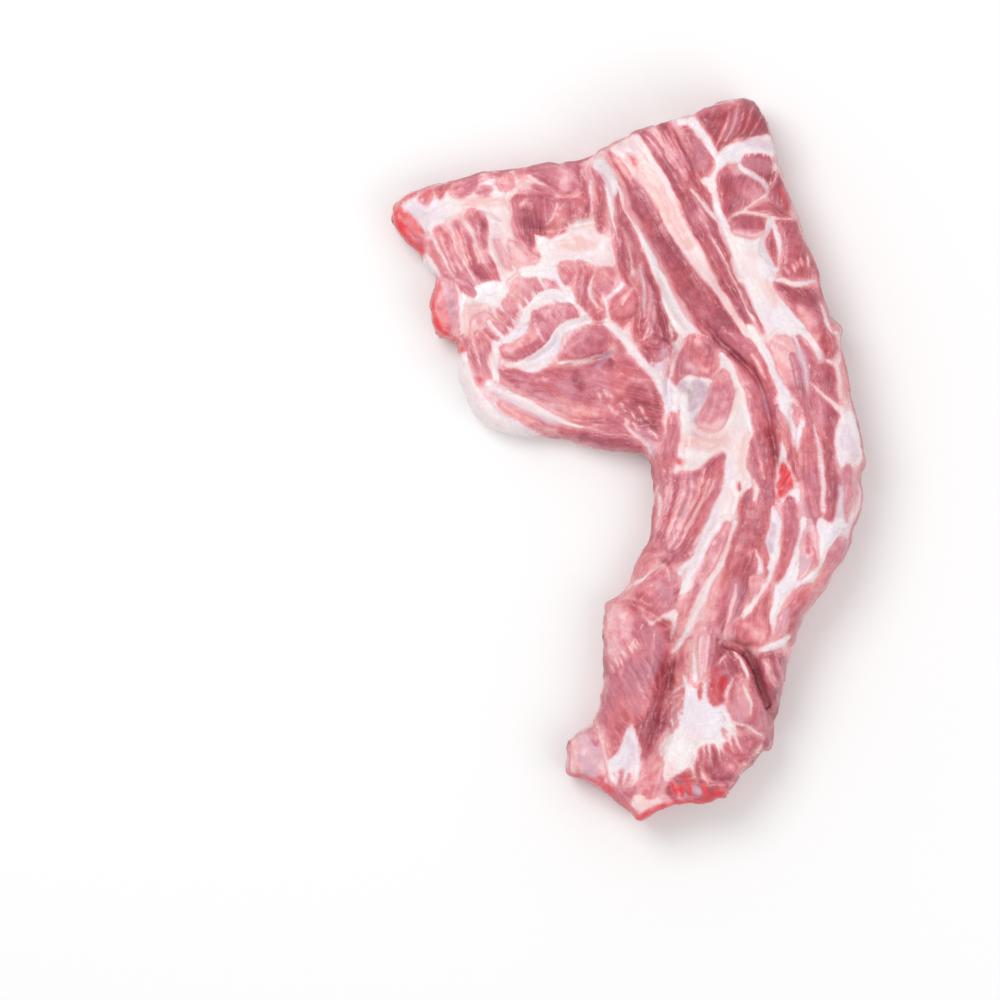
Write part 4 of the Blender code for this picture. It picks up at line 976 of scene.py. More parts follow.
class Skin:
    """The fine skin of the meat and what has been laid on it, in millimetres.

    An edge is the range of depths into a strand over which it comes in.
    """

    FAR = 9.0
    FAT_DEPTH = 3.0
    FAT_WARMTH = 0.3
    FEATHER = 0.5
    FLOW_REACH = 4.0
    FLOW_APART = 41.0
    WARPS = ((1.1, 9.0, (3.1, 13.4)), (0.35, 3.2, (7.7, 17.2)))
    EDGE = (-0.6, 0.6)
    WARM_EDGE = (-2.4, 2.4)
    VEIL_EDGE = (-0.5, 4.0)
    GRISTLE_EDGE = (-1.2, 0.8)
    BLOOD_EDGE = (-1.0, 0.8)
    CLEFT_EDGE = (-1.1, 0.7)
    WRAP_EDGE = (-2.5, 0.0)
    SOFT_EDGE = 3.0
    TEASED_END = 1.3
    CLEFT_WALL = 1.3
    CLEFT_END = 5.0
    CLEFT_THIN = 0.25
    # How strong the painted shade in a cleft is: at least this much, and more with depth
    CLEFT_SHADE = (0.3, 0.28)
    BLOOD_RUN = 0.95
    # The way each saw cut faces, a point on it and how far in from there its face reaches
    SAW_CUTS = (((-0.27, 0.96), (0.0, 165.0), 14.0), ((0.1, -0.99), (10.0, -165.0), 14.0),
                ((-0.91, -0.41), (-105.0, 95.0), 9.0))
    SAW_FACING = 0.62
    PATTERNS = {Side.BELLY: SidePattern((48.0, 13.0, 60.0), 0.0, 8.0, 0.7, 0.35),
                Side.SAWN: SidePattern((19.0, 19.0, 15.0), 4.0, 11.0, 0.9, 0.3),
                Side.UNDER: SidePattern((62.0, 17.0, 1.0), 0.0, 9.0, 0.9, 0.35)}
    PATTERN_WOBBLE = (0.2, 9.0, (1.0, 2.0, 5.0))
    PATTERN_TONE = (0.3, 0.9, 3.7)
    BELLY_LEAN = 0.3
    SAWN_FLOW = 19.0
    # How far up a side faces, from -1 to 1, where its pattern begins and where it is full
    WALL_UP = 0.55
    WALL_RANGE = (0.08, 0.42)
    UNDER_UP = -0.3
    UNDER_RANGE = (-0.5, -0.3)
    SWELL = 1.0
    BULGE = (1.15, 1.9)
    PLATEAU = (0.75, 1.4)
    LUMPS = ((0.35, 6.0, 31.0), (0.2, 2.6, 37.0))
    WALL_GROWTH = 0.9
    SETTLE = 0.8

    def __init__(self, points: np.ndarray, normals: np.ndarray, strip_axis: np.ndarray) -> None:
        """Start from a skin that is fat all over.

        Args:
            points: the vertices in millimetres.
            normals: their unit normals.
            strip_axis: the line of the backbone in the plan.
        """
        count = len(points)
        self.points = points
        self.normals = normals
        self.strip_axis = strip_axis
        plan = points[:, :2]
        shifts = [sum(reach * soft_noise(plan, size, seeds[axis]) for reach, size, seeds in self.WARPS)
                  for axis in range(2)]
        self.plan = plan + np.column_stack(shifts)
        self.depth = np.full(count, -self.FAT_DEPTH)
        self.tone = np.zeros(count)
        self.warmth = np.full(count, self.FAT_WARMTH)
        self.crease = np.full(count, self.FAR)
        self.lilac = np.zeros(count)
        self.red = np.zeros(count)
        # painted shade, laid only in the clefts
        self.dark = np.zeros(count)
        self.sunk = np.zeros(count)
        self.white = np.zeros(count)
        self.end = np.full(count, self.FAR)
        self.wrap = np.zeros(count)
        self.run = np.zeros(count)
        self.feather = np.full(count, self.FEATHER)
        self.reach = np.full(count, -self.FLOW_REACH)
        spine = Beside.path(plan, strip_axis)
        self.flow = np.column_stack([spine.along, spine.across])

    def lay(self, index: int, strand: Strand) -> None:
        """Lay one strand over what is there.

        Args:
            index: the strand's number, which sets its fibres apart from others.
            strand: the strand.
        """
        path = smooth_line(strand.line, closed=strand.outlined)
        margin = max(strand.widths, default=0.0) / 2 + self.FLOW_REACH
        low, high = path.min(axis=0) - margin, path.max(axis=0) + margin
        near = np.nonzero(((self.plan > low) & (self.plan < high)).all(axis=1))[0]
        if not len(near):
            return
        spots = Beside.path(self.plan[near], path)
        if strand.outlined:
            inside = np.where(within(self.plan[near], path), spots.gap, -spots.gap)
        else:
            stops = np.linspace(0.0, 1.0, len(strand.widths))
            inside = np.interp(spots.share, stops, strand.widths) / 2 - spots.gap
        if strand.tissue is Tissue.MUSCLE:
            self.lay_muscle(index, strand, near, inside, spots)
        elif strand.tissue in (Tissue.FAT, Tissue.VEIL):
            self.lay_fat(strand, near, inside)
        elif strand.tissue is Tissue.GRISTLE:
            self.raise_to(self.lilac, near, strand.tone * ramp_up(inside, *self.GRISTLE_EDGE))
        elif strand.tissue is Tissue.BLOOD:
            self.raise_to(self.red, near, strand.tone * ramp_up(inside, *self.BLOOD_EDGE))
            self.raise_to(self.depth, near, inside)
        elif strand.tissue is Tissue.TINT:
            soft = np.minimum(self.SOFT_EDGE, inside + spots.gap)
            self.tone[near] += (strand.tone - self.tone[near]) * ramp_up(inside, -soft, soft)
        elif strand.tissue is Tissue.CLEFT:
            self.cut_cleft(strand, near, inside, spots)
        if strand.wraps:
            runs_down = strand.tissue is Tissue.BLOOD
            strength = strand.tone * self.BLOOD_RUN if runs_down else 1.0
            layer = self.run if runs_down else self.wrap
            self.raise_to(layer, near, strength * ramp_up(inside, *self.WRAP_EDGE))

    def raise_to(self, layer: np.ndarray, rows: np.ndarray, values: np.ndarray) -> None:
        """Raise a layer to the given values at some vertices, where it is lower."""
        layer[rows] = np.maximum(layer[rows], values)

    def lay_muscle(self, index: int, strand: Strand, near: np.ndarray, inside: np.ndarray,
                   spots: Beside) -> None:
        """Lay a muscle, with its fibres a little past its edge.

        Args:
            index: the strand's number.
            strand: the strand.
            near: the vertices near it.
            inside: how deep in the strand each of them lies.
            spots: where they lie beside its line.
        """
        if strand.outlined:
            heading = np.radians(strand.heading)
            turn = np.array([[np.cos(heading), -np.sin(heading)], [np.sin(heading), np.cos(heading)]])
            places = self.plan[near] @ turn
            end = inside * self.TEASED_END if strand.teased else np.full(len(near), self.FAR)
        else:
            places = np.column_stack([spots.along, spots.across])
            end = spots.end
        cover = ramp_up(inside, *self.EDGE)
        self.raise_to(self.depth, near, inside)
        self.tone[near] += (strand.tone - self.tone[near]) * cover
        self.crease[near] = np.where(inside > 0, inside, np.minimum(self.crease[near], -inside))
        ahead = (inside > self.reach[near]) | (inside > 0)
        chosen = near[ahead]
        self.reach[chosen] = inside[ahead]
        self.end[chosen] = end[ahead]
        self.flow[chosen] = places[ahead] + np.array([self.FLOW_APART * index, 0.0])
        self.feather[chosen] = strand.fringe.value
        for layer in (self.lilac, self.red, self.dark, self.white):
            layer[near] *= 1.0 - cover

    def lay_fat(self, strand: Strand, near: np.ndarray, inside: np.ndarray) -> None:
        """Lay a strip of fat or a veil.

        Args:
            strand: the strand.
            near: the vertices near it.
            inside: how deep in the strand each of them lies.
        """
        cover = ramp_up(inside, *self.EDGE)
        self.depth[near] = np.minimum(self.depth[near], -inside)
        self.warmth[near] += (strand.tone - self.warmth[near]) * ramp_up(inside, *self.WARM_EDGE)
        self.crease[near] = np.where(inside > 0, inside, np.minimum(self.crease[near], -inside))
        for layer in (self.lilac, self.red, self.dark):
            layer[near] *= 1.0 - cover
        crisp = 1.0 if strand.tissue is Tissue.FAT else ramp_up(inside, *self.VEIL_EDGE)
        self.raise_to(self.white, near, cover * crisp)

    def cut_cleft(self, strand: Strand, near: np.ndarray, inside: np.ndarray, spots: Beside) -> None:
        """Sink a cleft and lay painted shade in it; both run out at its ends.

        Args:
            strand: the strand.
            near: the vertices near it.
            inside: how deep in the strand each of them lies.
            spots: where they lie beside its line.
        """
        half = inside + spots.gap
        thin = self.CLEFT_THIN + (1.0 - self.CLEFT_THIN) * half / half.max()
        ends = ramp_up(spots.end, 0.0, self.CLEFT_END) * thin
        groove = np.clip(1.0 - spots.gap / (half + self.CLEFT_WALL), 0.0, 1.0) * ends
        least, gain = self.CLEFT_SHADE
        strength = min(1.0, least + gain * strand.tone)
        self.raise_to(self.sunk, near, strand.tone * groove)
        self.raise_to(self.dark, near, strength * ramp_up(inside, *self.CLEFT_EDGE) * ends)

    def cells(self, side: Side, rows: np.ndarray) -> tuple:
        """Make the pattern of a side that no strand reaches.

        Args:
            side: the belly, a sawn end or the underside.
            rows: the vertices to make it for.

        Returns:
            The depth into muscle, the tone and the fibre coordinates at each of them.
        """
        points = self.points[rows]
        height = points[:, 2]
        spine = Beside.path(points[:, :2], self.strip_axis)
        if side is Side.UNDER:
            flow = np.column_stack([spine.along, spine.across])
            spots = np.column_stack([spine.along, spine.across, np.zeros(len(rows))])
        elif side is Side.BELLY:
            flow = np.column_stack([spine.along, height + self.BELLY_LEAN * spine.across])
            spots = np.column_stack([spine.along, height, spine.across])
        else:
            flow = np.column_stack([(points[:, 0] + points[:, 1]) * self.SAWN_FLOW, height])
            spots = points
        pattern = self.PATTERNS[side]
        wobble, size, seeds = self.PATTERN_WOBBLE
        places = spots / np.array(pattern.spacing) + pattern.shift
        places = places + wobble * np.column_stack([soft_noise(points, size, seed) for seed in seeds])
        middle, spread, scale = self.PATTERN_TONE
        depth, tone = [], []
        for row in places:
            gaps, centres = noise.voronoi(Vector(row))
            depth.append((gaps[1] - gaps[0]) * pattern.size - pattern.seam)
            tone.append(middle + spread * noise.noise(Vector(centres[0]) * scale))
        return np.array(depth), np.array(tone), flow

    def sawn(self) -> np.ndarray:
        """Which vertices lie on a sawn side."""
        chosen = np.zeros(len(self.points), dtype=bool)
        for outward, origin, margin in self.SAW_CUTS:
            facing = self.normals[:, :2] @ np.array(outward) > self.SAW_FACING
            chosen |= facing & ((self.points[:, :2] - origin) @ np.array(outward) > -margin)
        return chosen

    def finish_sides(self) -> None:
        """Give the belly, the sawn ends and the underside their own muscles and seams."""
        up = self.normals[:, 2]
        sawn = self.sawn()
        wall = (up <= self.WALL_UP) & (up > -self.WALL_UP)
        sides = ((Side.BELLY, wall & ~sawn, self.WALL_RANGE), (Side.SAWN, wall & sawn, self.WALL_RANGE),
                 (Side.UNDER, up <= self.UNDER_UP, self.UNDER_RANGE))
        for side, chosen, up_range in sides:
            rows = np.nonzero(chosen)[0]
            depth, tone, flow = self.cells(side, rows)
            weight = (1.0 - ramp_up(up[rows], *up_range)) * (1.0 - self.wrap[rows])
            self.depth[rows] += (depth - self.depth[rows]) * weight
            self.tone[rows] += (tone - self.tone[rows]) * weight
            self.crease[rows] += (np.abs(depth) - self.crease[rows]) * weight
            switched = rows[weight > 0.5]
            self.flow[switched] = flow[weight > 0.5]
            self.feather[switched] = self.PATTERNS[side].feather
            for layer in (self.lilac, self.dark, self.red):
                layer[rows] *= 1.0 - weight
            self.red[rows] = np.maximum(self.red[rows], self.run[rows] * weight)
            self.white[rows] += (1.0 - self.white[rows]) * weight
            self.end[rows] += (self.FAR - self.end[rows]) * weight

    def swell(self) -> None:
        """Let the muscles grow into the bare gaps between them, up to the strips of fat."""
        self.depth += self.SWELL * (1.0 - self.white)

    def relief(self) -> np.ndarray:
        """How far each vertex stands out from the refined solid, in millimetres."""
        in_muscle = ramp_up(self.depth, -0.4, 0.4)
        height, run = self.BULGE
        bulge = height * (1.0 - np.exp(-self.crease / run))
        height, run = self.PLATEAU
        plateau = height * (1.0 - np.exp(-np.minimum(np.abs(self.depth), self.crease) / run))
        lumps = sum(height * soft_noise(self.points, size, seed) for height, size, seed in self.LUMPS)
        wall = self.WALL_GROWTH * ramp_up(-np.abs(self.normals[:, 2]), -0.7, 0.0)
        return bulge * in_muscle + plateau * (1.0 - in_muscle) + lumps + wall - self.sunk - self.SETTLE


@dataclass
class MeatBody:
    """The dressed meat: a fine skin over the meat's solid."""

    node: str = "meat"
    rounds: int = 2
    smoothing: int = 9
    smooth_steps: tuple = (0.6, -0.5)
    merge: float = 0.00002
    strip_axis: tuple = ((24, 172), (38, 130), (60, 85), (77, 40), (83, 0), (77, -40), (59, -85),
                         (44, -125), (31, -172))
    axis_spacing: float = 6.0
    strands: list[Strand] = field(default_factory=list)

    def refine(self) -> bpy.types.Object:
        """Copy the solid and split every triangle into smaller ones.

        Returns:
            The refined copy, still with the solid's facets.
        """
        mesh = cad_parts[self.node].data.copy()
        mesh.materials.clear()
        mesh.name = "raw_meat"
        edit = bmesh.new()
        edit.from_mesh(mesh)
        bmesh.ops.remove_doubles(edit, verts=edit.verts, dist=self.merge)
        for _ in range(self.rounds):
            bmesh.ops.subdivide_edges(edit, edges=edit.edges, cuts=1, use_grid_fill=True)
            bmesh.ops.triangulate(edit, faces=[face for face in edit.faces if len(face.verts) > 3])
        edit.to_mesh(mesh)
        edit.free()
        piece = bpy.data.objects.new("raw_meat", mesh)
        bpy.context.scene.collection.objects.link(piece)
        return piece

    def relax(self, mesh: bpy.types.Mesh) -> None:
        """Smooth the facets away, with a step back after each step to keep the volume."""
        points = read_vectors(mesh.vertices, "co")
        edges = np.zeros(len(mesh.edges) * 2, dtype=np.int64)
        mesh.edges.foreach_get("vertices", edges)
        edges = edges.reshape(-1, 2)
        degree = np.bincount(edges.ravel(), minlength=len(points))[:, None]
        for strength in self.smooth_steps * self.smoothing:
            total = np.zeros_like(points)
            np.add.at(total, edges[:, 0], points[edges[:, 1]])
            np.add.at(total, edges[:, 1], points[edges[:, 0]])
            points += strength * (total / degree - points)
        mesh.vertices.foreach_set("co", points.ravel())
        mesh.update()

    def build(self) -> bpy.types.Object:
        """Refine the solid, lay the strands on it and raise their relief.

        Returns:
            The dressed meat, with its patterns as mesh attributes.
        """
        piece = self.refine()
        mesh = piece.data
        self.relax(mesh)
        points = read_vectors(mesh.vertices, "co")
        normals = read_vectors(mesh.vertices, "normal")
        skin = Skin(points / MM, normals, smooth_line(self.strip_axis, self.axis_spacing))
        for index, strand in enumerate(self.strands):
            skin.lay(index, strand)
        skin.finish_sides()
        relief = skin.relief()
        skin.swell()
        push = relief * np.where(normals[:, 2] > -0.5, 1.0, 0.0) * MM
        points = points + normals * push[:, None]
        points[:, 2] = np.maximum(points[:, 2], 0.0)
        mesh.vertices.foreach_set("co", points.ravel())
        write_vectors(mesh, "tissue", np.column_stack([skin.depth, skin.tone, skin.crease]))
        write_vectors(mesh, "stain", np.column_stack([skin.red, skin.lilac, skin.warmth]))
        # the painted shade of the clefts, the cover of fat and veils, and the distance to a strand's end
        write_vectors(mesh, "shade_white_end", np.column_stack([skin.dark, skin.white, skin.end]))
        write_vectors(mesh, "fibre", np.column_stack([skin.flow, skin.feather]))
        mesh.shade_smooth()
        mesh.update()
        return piece


def read_vectors(items: bpy.types.bpy_prop_collection, name: str) -> np.ndarray:
    """Read one vector for each vertex into an array of rows."""
    values = np.zeros(len(items) * 3, dtype=np.float32)
    items.foreach_get(name, values)
    return values.reshape(-1, 3).astype(float)


def write_vectors(mesh: bpy.types.Mesh, name: str, values: np.ndarray) -> None:
    """Keep one vector for each vertex as a mesh attribute."""
    layer = mesh.attributes.new(name, "FLOAT_VECTOR", "POINT")
    layer.data.foreach_set("vector", values.astype(np.float32).ravel())


def linear(red: int, green: int, blue: int) -> tuple:
    """Turn a colour from 0 to 255 into the linear colour that a shader takes."""
    channels = [value / 255.0 for value in (red, green, blue)]
    curved = [((value + 0.055) / 1.055) ** 2.4 if value > 0.04045 else value / 12.92 for value in channels]
    return (*curved, 1.0)


class Graph:
    """Short calls for building a node tree."""

    def __init__(self, tree: bpy.types.NodeTree) -> None:
        """Work in a tree."""
        self.tree = tree

    def add(self, kind: str, **settings: object) -> bpy.types.Node:
        """Add a node and set its properties."""
        node = self.tree.nodes.new(kind)
        for name, value in settings.items():
            setattr(node, name, value)
        return node

    def feed(self, socket: Socket, value: object) -> None:
        """Link an output into a socket, or set the socket's own value."""
        if isinstance(value, Socket):
            self.tree.links.new(value, socket)
        else:
            socket.default_value = value

    def math(self, operation: str, first: object, second: object = 0.0, clamp: bool = False) -> Socket:
        """Combine two values."""
        node = self.add("ShaderNodeMath", operation=operation, use_clamp=clamp)
        self.feed(node.inputs[0], first)
        self.feed(node.inputs[1], second)
        return node.outputs[0]

    def plus(self, first: object, second: object, clamp: bool = False) -> Socket:
        """The sum of two values."""
        return self.math("ADD", first, second, clamp)

    def minus(self, first: object, second: object) -> Socket:
        """The first value less the second."""
        return self.math("SUBTRACT", first, second)

    def times(self, first: object, second: object) -> Socket:
        """The product of two values."""
        return self.math("MULTIPLY", first, second)

    def blend(self, factor: object, first: object, second: object) -> Socket:
        """Mix two colours."""
        node = self.add("ShaderNodeMix", data_type="RGBA")
        self.feed(node.inputs[0], factor)
        self.feed(node.inputs[6], first)
        self.feed(node.inputs[7], second)
        return node.outputs[2]

    def step(self, value: object, low: object, high: object, bottom: float = 0.0,
             top: float = 1.0) -> Socket:
        """Map a value smoothly from one range into another."""
        node = self.add("ShaderNodeMapRange", interpolation_type="SMOOTHSTEP")
        for socket, setting in zip(node.inputs, (value, low, high, bottom, top)):
            self.feed(socket, setting)
        return node.outputs[0]

    def swing(self, value: object, pattern: object, reach: float) -> Socket:
        """Move a value up and down with a pattern that swings about one half."""
        return self.plus(value, self.times(self.minus(pattern, 0.5), reach))

    def noise(self, vector: object, scale: float, detail: float = 2.0, distortion: float = 0.0) -> Socket:
        """Smooth noise between 0 and 1."""
        node = self.add("ShaderNodeTexNoise")
        self.feed(node.inputs["Vector"], vector)
        node.inputs["Scale"].default_value = scale
        node.inputs["Detail"].default_value = detail
        node.inputs["Distortion"].default_value = distortion
        return node.outputs["Fac"]

    def scaled(self, vector: object, scale: tuple) -> Socket:
        """Scale a vector along each axis."""
        node = self.add("ShaderNodeVectorMath", operation="MULTIPLY")
        self.feed(node.inputs[0], vector)
        node.inputs[1].default_value = scale
        return node.outputs[0]

    def place(self) -> Socket:
        """Where a spot lies on the object, in millimetres."""
        return self.scaled(self.add("ShaderNodeTexCoord").outputs["Object"], (1000.0, 1000.0, 1000.0))

    def parts(self, vector: object) -> tuple:
        """The three parts of a vector."""
        node = self.add("ShaderNodeSeparateXYZ")
        self.feed(node.inputs[0], vector)
        return tuple(node.outputs)

    def attribute(self, name: str) -> Socket:
        """A vector attribute of the mesh."""
        return self.add("ShaderNodeAttribute", attribute_name=name).outputs["Vector"]

    def ramp(self, value: object, stops: tuple) -> Socket:
        """Look a colour up along a row of stops."""
        node = self.add("ShaderNodeValToRGB")
        elements = node.color_ramp.elements
        while len(elements) < len(stops):
            elements.new(0.5)
        for element, (place, colour) in zip(elements, stops):
            element.position = place
            element.color = colour
        self.feed(node.inputs[0], value)
        return node.outputs["Color"]

    def bump(self, height: object, strength: float, distance: float) -> Socket:
        """A normal that follows a height."""
        node = self.add("ShaderNodeBump")
        node.inputs["Strength"].default_value = strength
        node.inputs["Distance"].default_value = distance
        self.feed(node.inputs["Height"], height)
        return node.outputs["Normal"]

    def use(self, group: bpy.types.NodeTree, **inputs: object) -> bpy.types.Node:
        """Place a node group and set its inputs."""
        node = self.add("ShaderNodeGroup", node_tree=group)
        for name, value in inputs.items():
            self.feed(node.inputs[name], value)
        return node


class EffectGroup:
    """A shader node group with named inputs and outputs, built once and shared."""

    name = "effect"
    inputs: tuple = ()
    outputs: tuple = ()

    def __init__(self) -> None:
        """Make the group's tree, its sockets and its nodes."""
        self.tree = bpy.data.node_groups.new(self.name, "ShaderNodeTree")
        for name, kind, value in self.inputs:
            socket = self.tree.interface.new_socket(name, in_out="INPUT", socket_type=f"NodeSocket{kind}")
            if value is not None:
                socket.default_value = value
        for name, kind in self.outputs:
            self.tree.interface.new_socket(name, in_out="OUTPUT", socket_type=f"NodeSocket{kind}")
        self.graph = Graph(self.tree)
        self.source = self.graph.add("NodeGroupInput").outputs
        self.target = self.graph.add("NodeGroupOutput").inputs
        self.wire()

    def wire(self) -> None:
        """Add the nodes between the group's inputs and outputs."""


class FibreGrain(EffectGroup):
    """Fine lines along the fibres of a muscle, or along the grain of a bone."""

    name = "fibre grain"
    inputs = (("Fibre", "Vector", None), ("Fineness", "Float", 1.0), ("Length", "Float", 0.06))
    outputs = (("Lines", "Float"), ("Bundles", "Float"))
    bundle_share = 0.36

    def wire(self) -> None:
        """Draw noise that is drawn out along the fibres, at two widths."""
        graph = self.graph
        along, across, _ = graph.parts(self.source["Fibre"])
        for output, share in (("Lines", 1.0), ("Bundles", self.bundle_share)):
            place = graph.add("ShaderNodeCombineXYZ")
            graph.feed(place.inputs[0], graph.times(along, self.source["Length"]))
            width = graph.times(self.source["Fineness"], share)
            graph.feed(place.inputs[1], graph.times(across, width))
            graph.feed(self.target[output], graph.noise(place.outputs[0], 1.0, 3.0, 0.3))


class Veins(EffectGroup):
    """Thin wandering lines, as fat through muscle or vessels through fat."""

    name = "veins"
    inputs = (("Place", "Vector", None), ("Size", "Float", 0.15), ("Width", "Float", 0.03))
    outputs = (("Veins", "Float"),)

    def wire(self) -> None:
        """Keep the places where smooth noise crosses its middle."""
        graph = self.graph
        place = graph.add("ShaderNodeVectorMath", operation="SCALE")
        graph.feed(place.inputs[0], self.source["Place"])
        graph.feed(place.inputs["Scale"], self.source["Size"])
        crossing = graph.math("ABSOLUTE", graph.minus(graph.noise(place.outputs[0], 1.0, 3.0, 0.6), 0.5))
        graph.feed(self.target["Veins"], graph.step(crossing, 0.0, self.source["Width"], 1.0, 0.0))


class WetFilm(EffectGroup):
    """How wet a surface is from place to place."""

    name = "wet film"
    inputs = (("Place", "Vector", None), ("Wet", "Float", 0.25), ("Dry", "Float", 0.5))
    outputs = (("Roughness", "Float"),)
    patches_per_mm = 0.11
    beads_per_mm = 1.3

    def wire(self) -> None:
        """Mix patches of film with fine beads of moisture."""
        graph = self.graph
        patches = graph.noise(self.source["Place"], self.patches_per_mm, 3.0)
        beads = graph.noise(self.source["Place"], self.beads_per_mm, 2.0)
        film = graph.step(graph.plus(patches, graph.times(beads, 0.25)), 0.45, 0.8)
        spread = graph.times(film, graph.minus(self.source["Wet"], self.source["Dry"]))
        graph.feed(self.target["Roughness"], graph.plus(self.source["Dry"], spread))


@dataclass(frozen=True)
class MeatSignals:
    """What the layers of the meat's material share: its attributes, and patterns from 0 to 1."""

    depth: Socket
    tone: Socket
    crease: Socket
    red: Socket
    lilac: Socket
    warmth: Socket
    # the painted shade of the clefts
    dark: Socket
    end: Socket
    bare: Socket
    fibre: Socket
    place: Socket
    lines: Socket
    bundles: Socket
    clouds: Socket
    patches: Socket
    speckle: Socket


@dataclass(frozen=True)
class MeatFinish:
    """Raw pork: rose muscle, white fat, lilac gristle, and a wet film over them."""

    muscle_stops: tuple = ((0.0, linear(232, 184, 190)), (0.28, linear(217, 147, 157)),
                           (0.5, linear(199, 115, 130)), (0.75, linear(180, 88, 104)),
                           (1.0, linear(154, 64, 81)))
    salmon_stops: tuple = ((0.0, linear(235, 190, 188)), (0.28, linear(226, 150, 151)),
                           (0.5, linear(209, 114, 122)), (0.75, linear(187, 86, 97)),
                           (1.0, linear(158, 60, 72)))
    fat_stops: tuple = ((0.0, linear(236, 228, 228)), (0.5, linear(234, 209, 208)),
                        (1.0, linear(230, 186, 182)))
    silver: tuple = linear(224, 214, 231)
    rim: tuple = linear(233, 140, 138)
    blush: tuple = linear(224, 150, 158)
    fibre_light: tuple = linear(238, 190, 195)
    gristle: tuple = linear(199, 166, 184)
    blood: tuple = linear(220, 52, 60)
    # colour of the painted shade in the seams and the clefts
    deep: tuple = linear(104, 24, 32)
    fibres_per_mm: float = 1.15
    clouds_per_mm: float = 0.07
    patches_per_mm: float = 0.24
    speckles_per_mm: float = 0.9
    stray_bundles: float = 5.0
    stray_lines: float = 3.0
    fray_reach: float = 6.5
    fray_depth: float = 3.8
    rim_width: float = 2.6
    # Width and strength of the painted shade along the seams between muscles
    seam_shade_width: float = 0.8
    seam_shade_strength: float = 0.16
    marbling_drawn: tuple = (0.05, 0.34, 1.0)
    marbling_width: float = 0.022
    vessels_per_mm: float = 0.21
    vessel_width: float = 0.02
    wet: float = 0.24
    dry: float = 0.46
    bump_strength: float = 0.55
    bump_distance: float = 0.0009
    coat_roughness: float = 0.22
    glow: float = 0.12
    glow_radius: tuple = (1.0, 0.35, 0.25)
    glow_scale: float = 0.004

    def signals(self, graph: Graph, fibres: FibreGrain) -> MeatSignals:
        """Read the mesh attributes and make the shared patterns.

        Args:
            graph: the material's nodes.
            fibres: the shared fibre lines.

        Returns:
            The sockets that the layers are made from.
        """
        depth, tone, crease = graph.parts(graph.attribute("tissue"))
        red, lilac, warmth = graph.parts(graph.attribute("stain"))
        # the first part is the painted shade of the clefts
        dark, white, end = graph.parts(graph.attribute("shade_white_end"))
        fibre = graph.attribute("fibre")
        place = graph.place()
        grain = graph.use(fibres.tree, Fibre=fibre, Fineness=self.fibres_per_mm).outputs
        return MeatSignals(depth, tone, crease, red, lilac, warmth, dark, end, graph.minus(1.0, white),
                           fibre, place, grain["Lines"], grain["Bundles"],
                           graph.noise(place, self.clouds_per_mm, 3.0),
                           graph.noise(place, self.patches_per_mm, 2.0),
                           graph.noise(place, self.speckles_per_mm, 3.0))

    def level(self, graph: Graph, skin: MeatSignals) -> Socket:
        """How deep in muscle a spot lies, with strays along the fibres and frayed ends."""
        feather = graph.parts(skin.fibre)[2]
        strays = graph.times(graph.minus(skin.bundles, 0.5), self.stray_bundles)
        strays = graph.swing(strays, skin.lines, self.stray_lines)
        level = graph.plus(skin.depth, graph.times(strays, feather))
        level = graph.swing(level, skin.speckle, 0.9)
        teeth = graph.times(graph.plus(skin.bundles, skin.lines), 0.5)
        frayed = graph.times(graph.step(skin.end, 0.5, self.fray_reach, self.fray_depth, 0.0),
                             graph.step(teeth, 0.4, 0.62))
        return graph.minus(level, graph.times(frayed, feather))

    def muscle_colour(self, graph: Graph, skin: MeatSignals, veins: Veins) -> Socket:
        """Rose to purple red by tone, salmon in places, with a pale rim, fibres and marbling."""
        shift = graph.swing(skin.tone, skin.clouds, 1.4)
        shift = graph.swing(shift, skin.patches, 1.3)
        shift = graph.swing(shift, skin.bundles, 0.9)
        shift = graph.swing(shift, skin.speckle, 0.4)
        rim = graph.step(skin.depth, 0.0, self.rim_width, 1.0, 0.0)
        shift = graph.minus(shift, graph.times(rim, 0.4))
        shift = graph.plus(graph.times(shift, 0.5), 0.5)
        rose = graph.ramp(shift, self.muscle_stops)
        salmon = graph.ramp(shift, self.salmon_stops)
        colour = graph.blend(graph.step(graph.noise(skin.place, 0.05, 3.0), 0.42, 0.62), rose, salmon)
        colour = graph.blend(graph.times(rim, 0.3), colour, self.rim)
        fine = graph.step(skin.lines, 0.48, 0.78)
        colour = graph.blend(graph.times(fine, 0.12), colour, self.fibre_light)
        drawn = graph.scaled(skin.fibre, self.marbling_drawn)
        marbling = graph.use(veins.tree, Place=drawn, Size=1.0, Width=self.marbling_width).outputs["Veins"]
        marbling = graph.times(marbling, graph.step(skin.depth, 0.5, 7.0, 0.4, 0.12))
        return graph.blend(marbling, colour, self.fibre_light)

    def fat_colour(self, graph: Graph, skin: MeatSignals, veins: Veins, level: Socket) -> Socket:
        """White to peach by warmth, silvery in places, with vessels and a blush beside muscle."""
        warm = graph.swing(skin.warmth, skin.clouds, 1.2)
        warm = graph.swing(warm, skin.bundles, 0.8)
        colour = graph.ramp(warm, self.fat_stops)
        cold = graph.times(graph.step(graph.noise(skin.place, 0.045, 2.0), 0.4, 0.62),
                           graph.step(skin.warmth, 0.0, 0.7, 0.45, 0.0))
        colour = graph.blend(cold, colour, self.silver)
        vessels = graph.use(veins.tree, Place=skin.place, Size=self.vessels_per_mm, Width=self.vessel_width)
        pink_film = graph.times(skin.bare, graph.step(skin.lines, 0.35, 0.7, 0.25, 0.7))
        blush = graph.times(vessels.outputs["Veins"], 0.3)
        blush = graph.plus(blush, graph.step(level, -2.2, -0.2, 0.0, 0.5))
        return graph.blend(graph.plus(blush, pink_film, True), colour, self.blush)

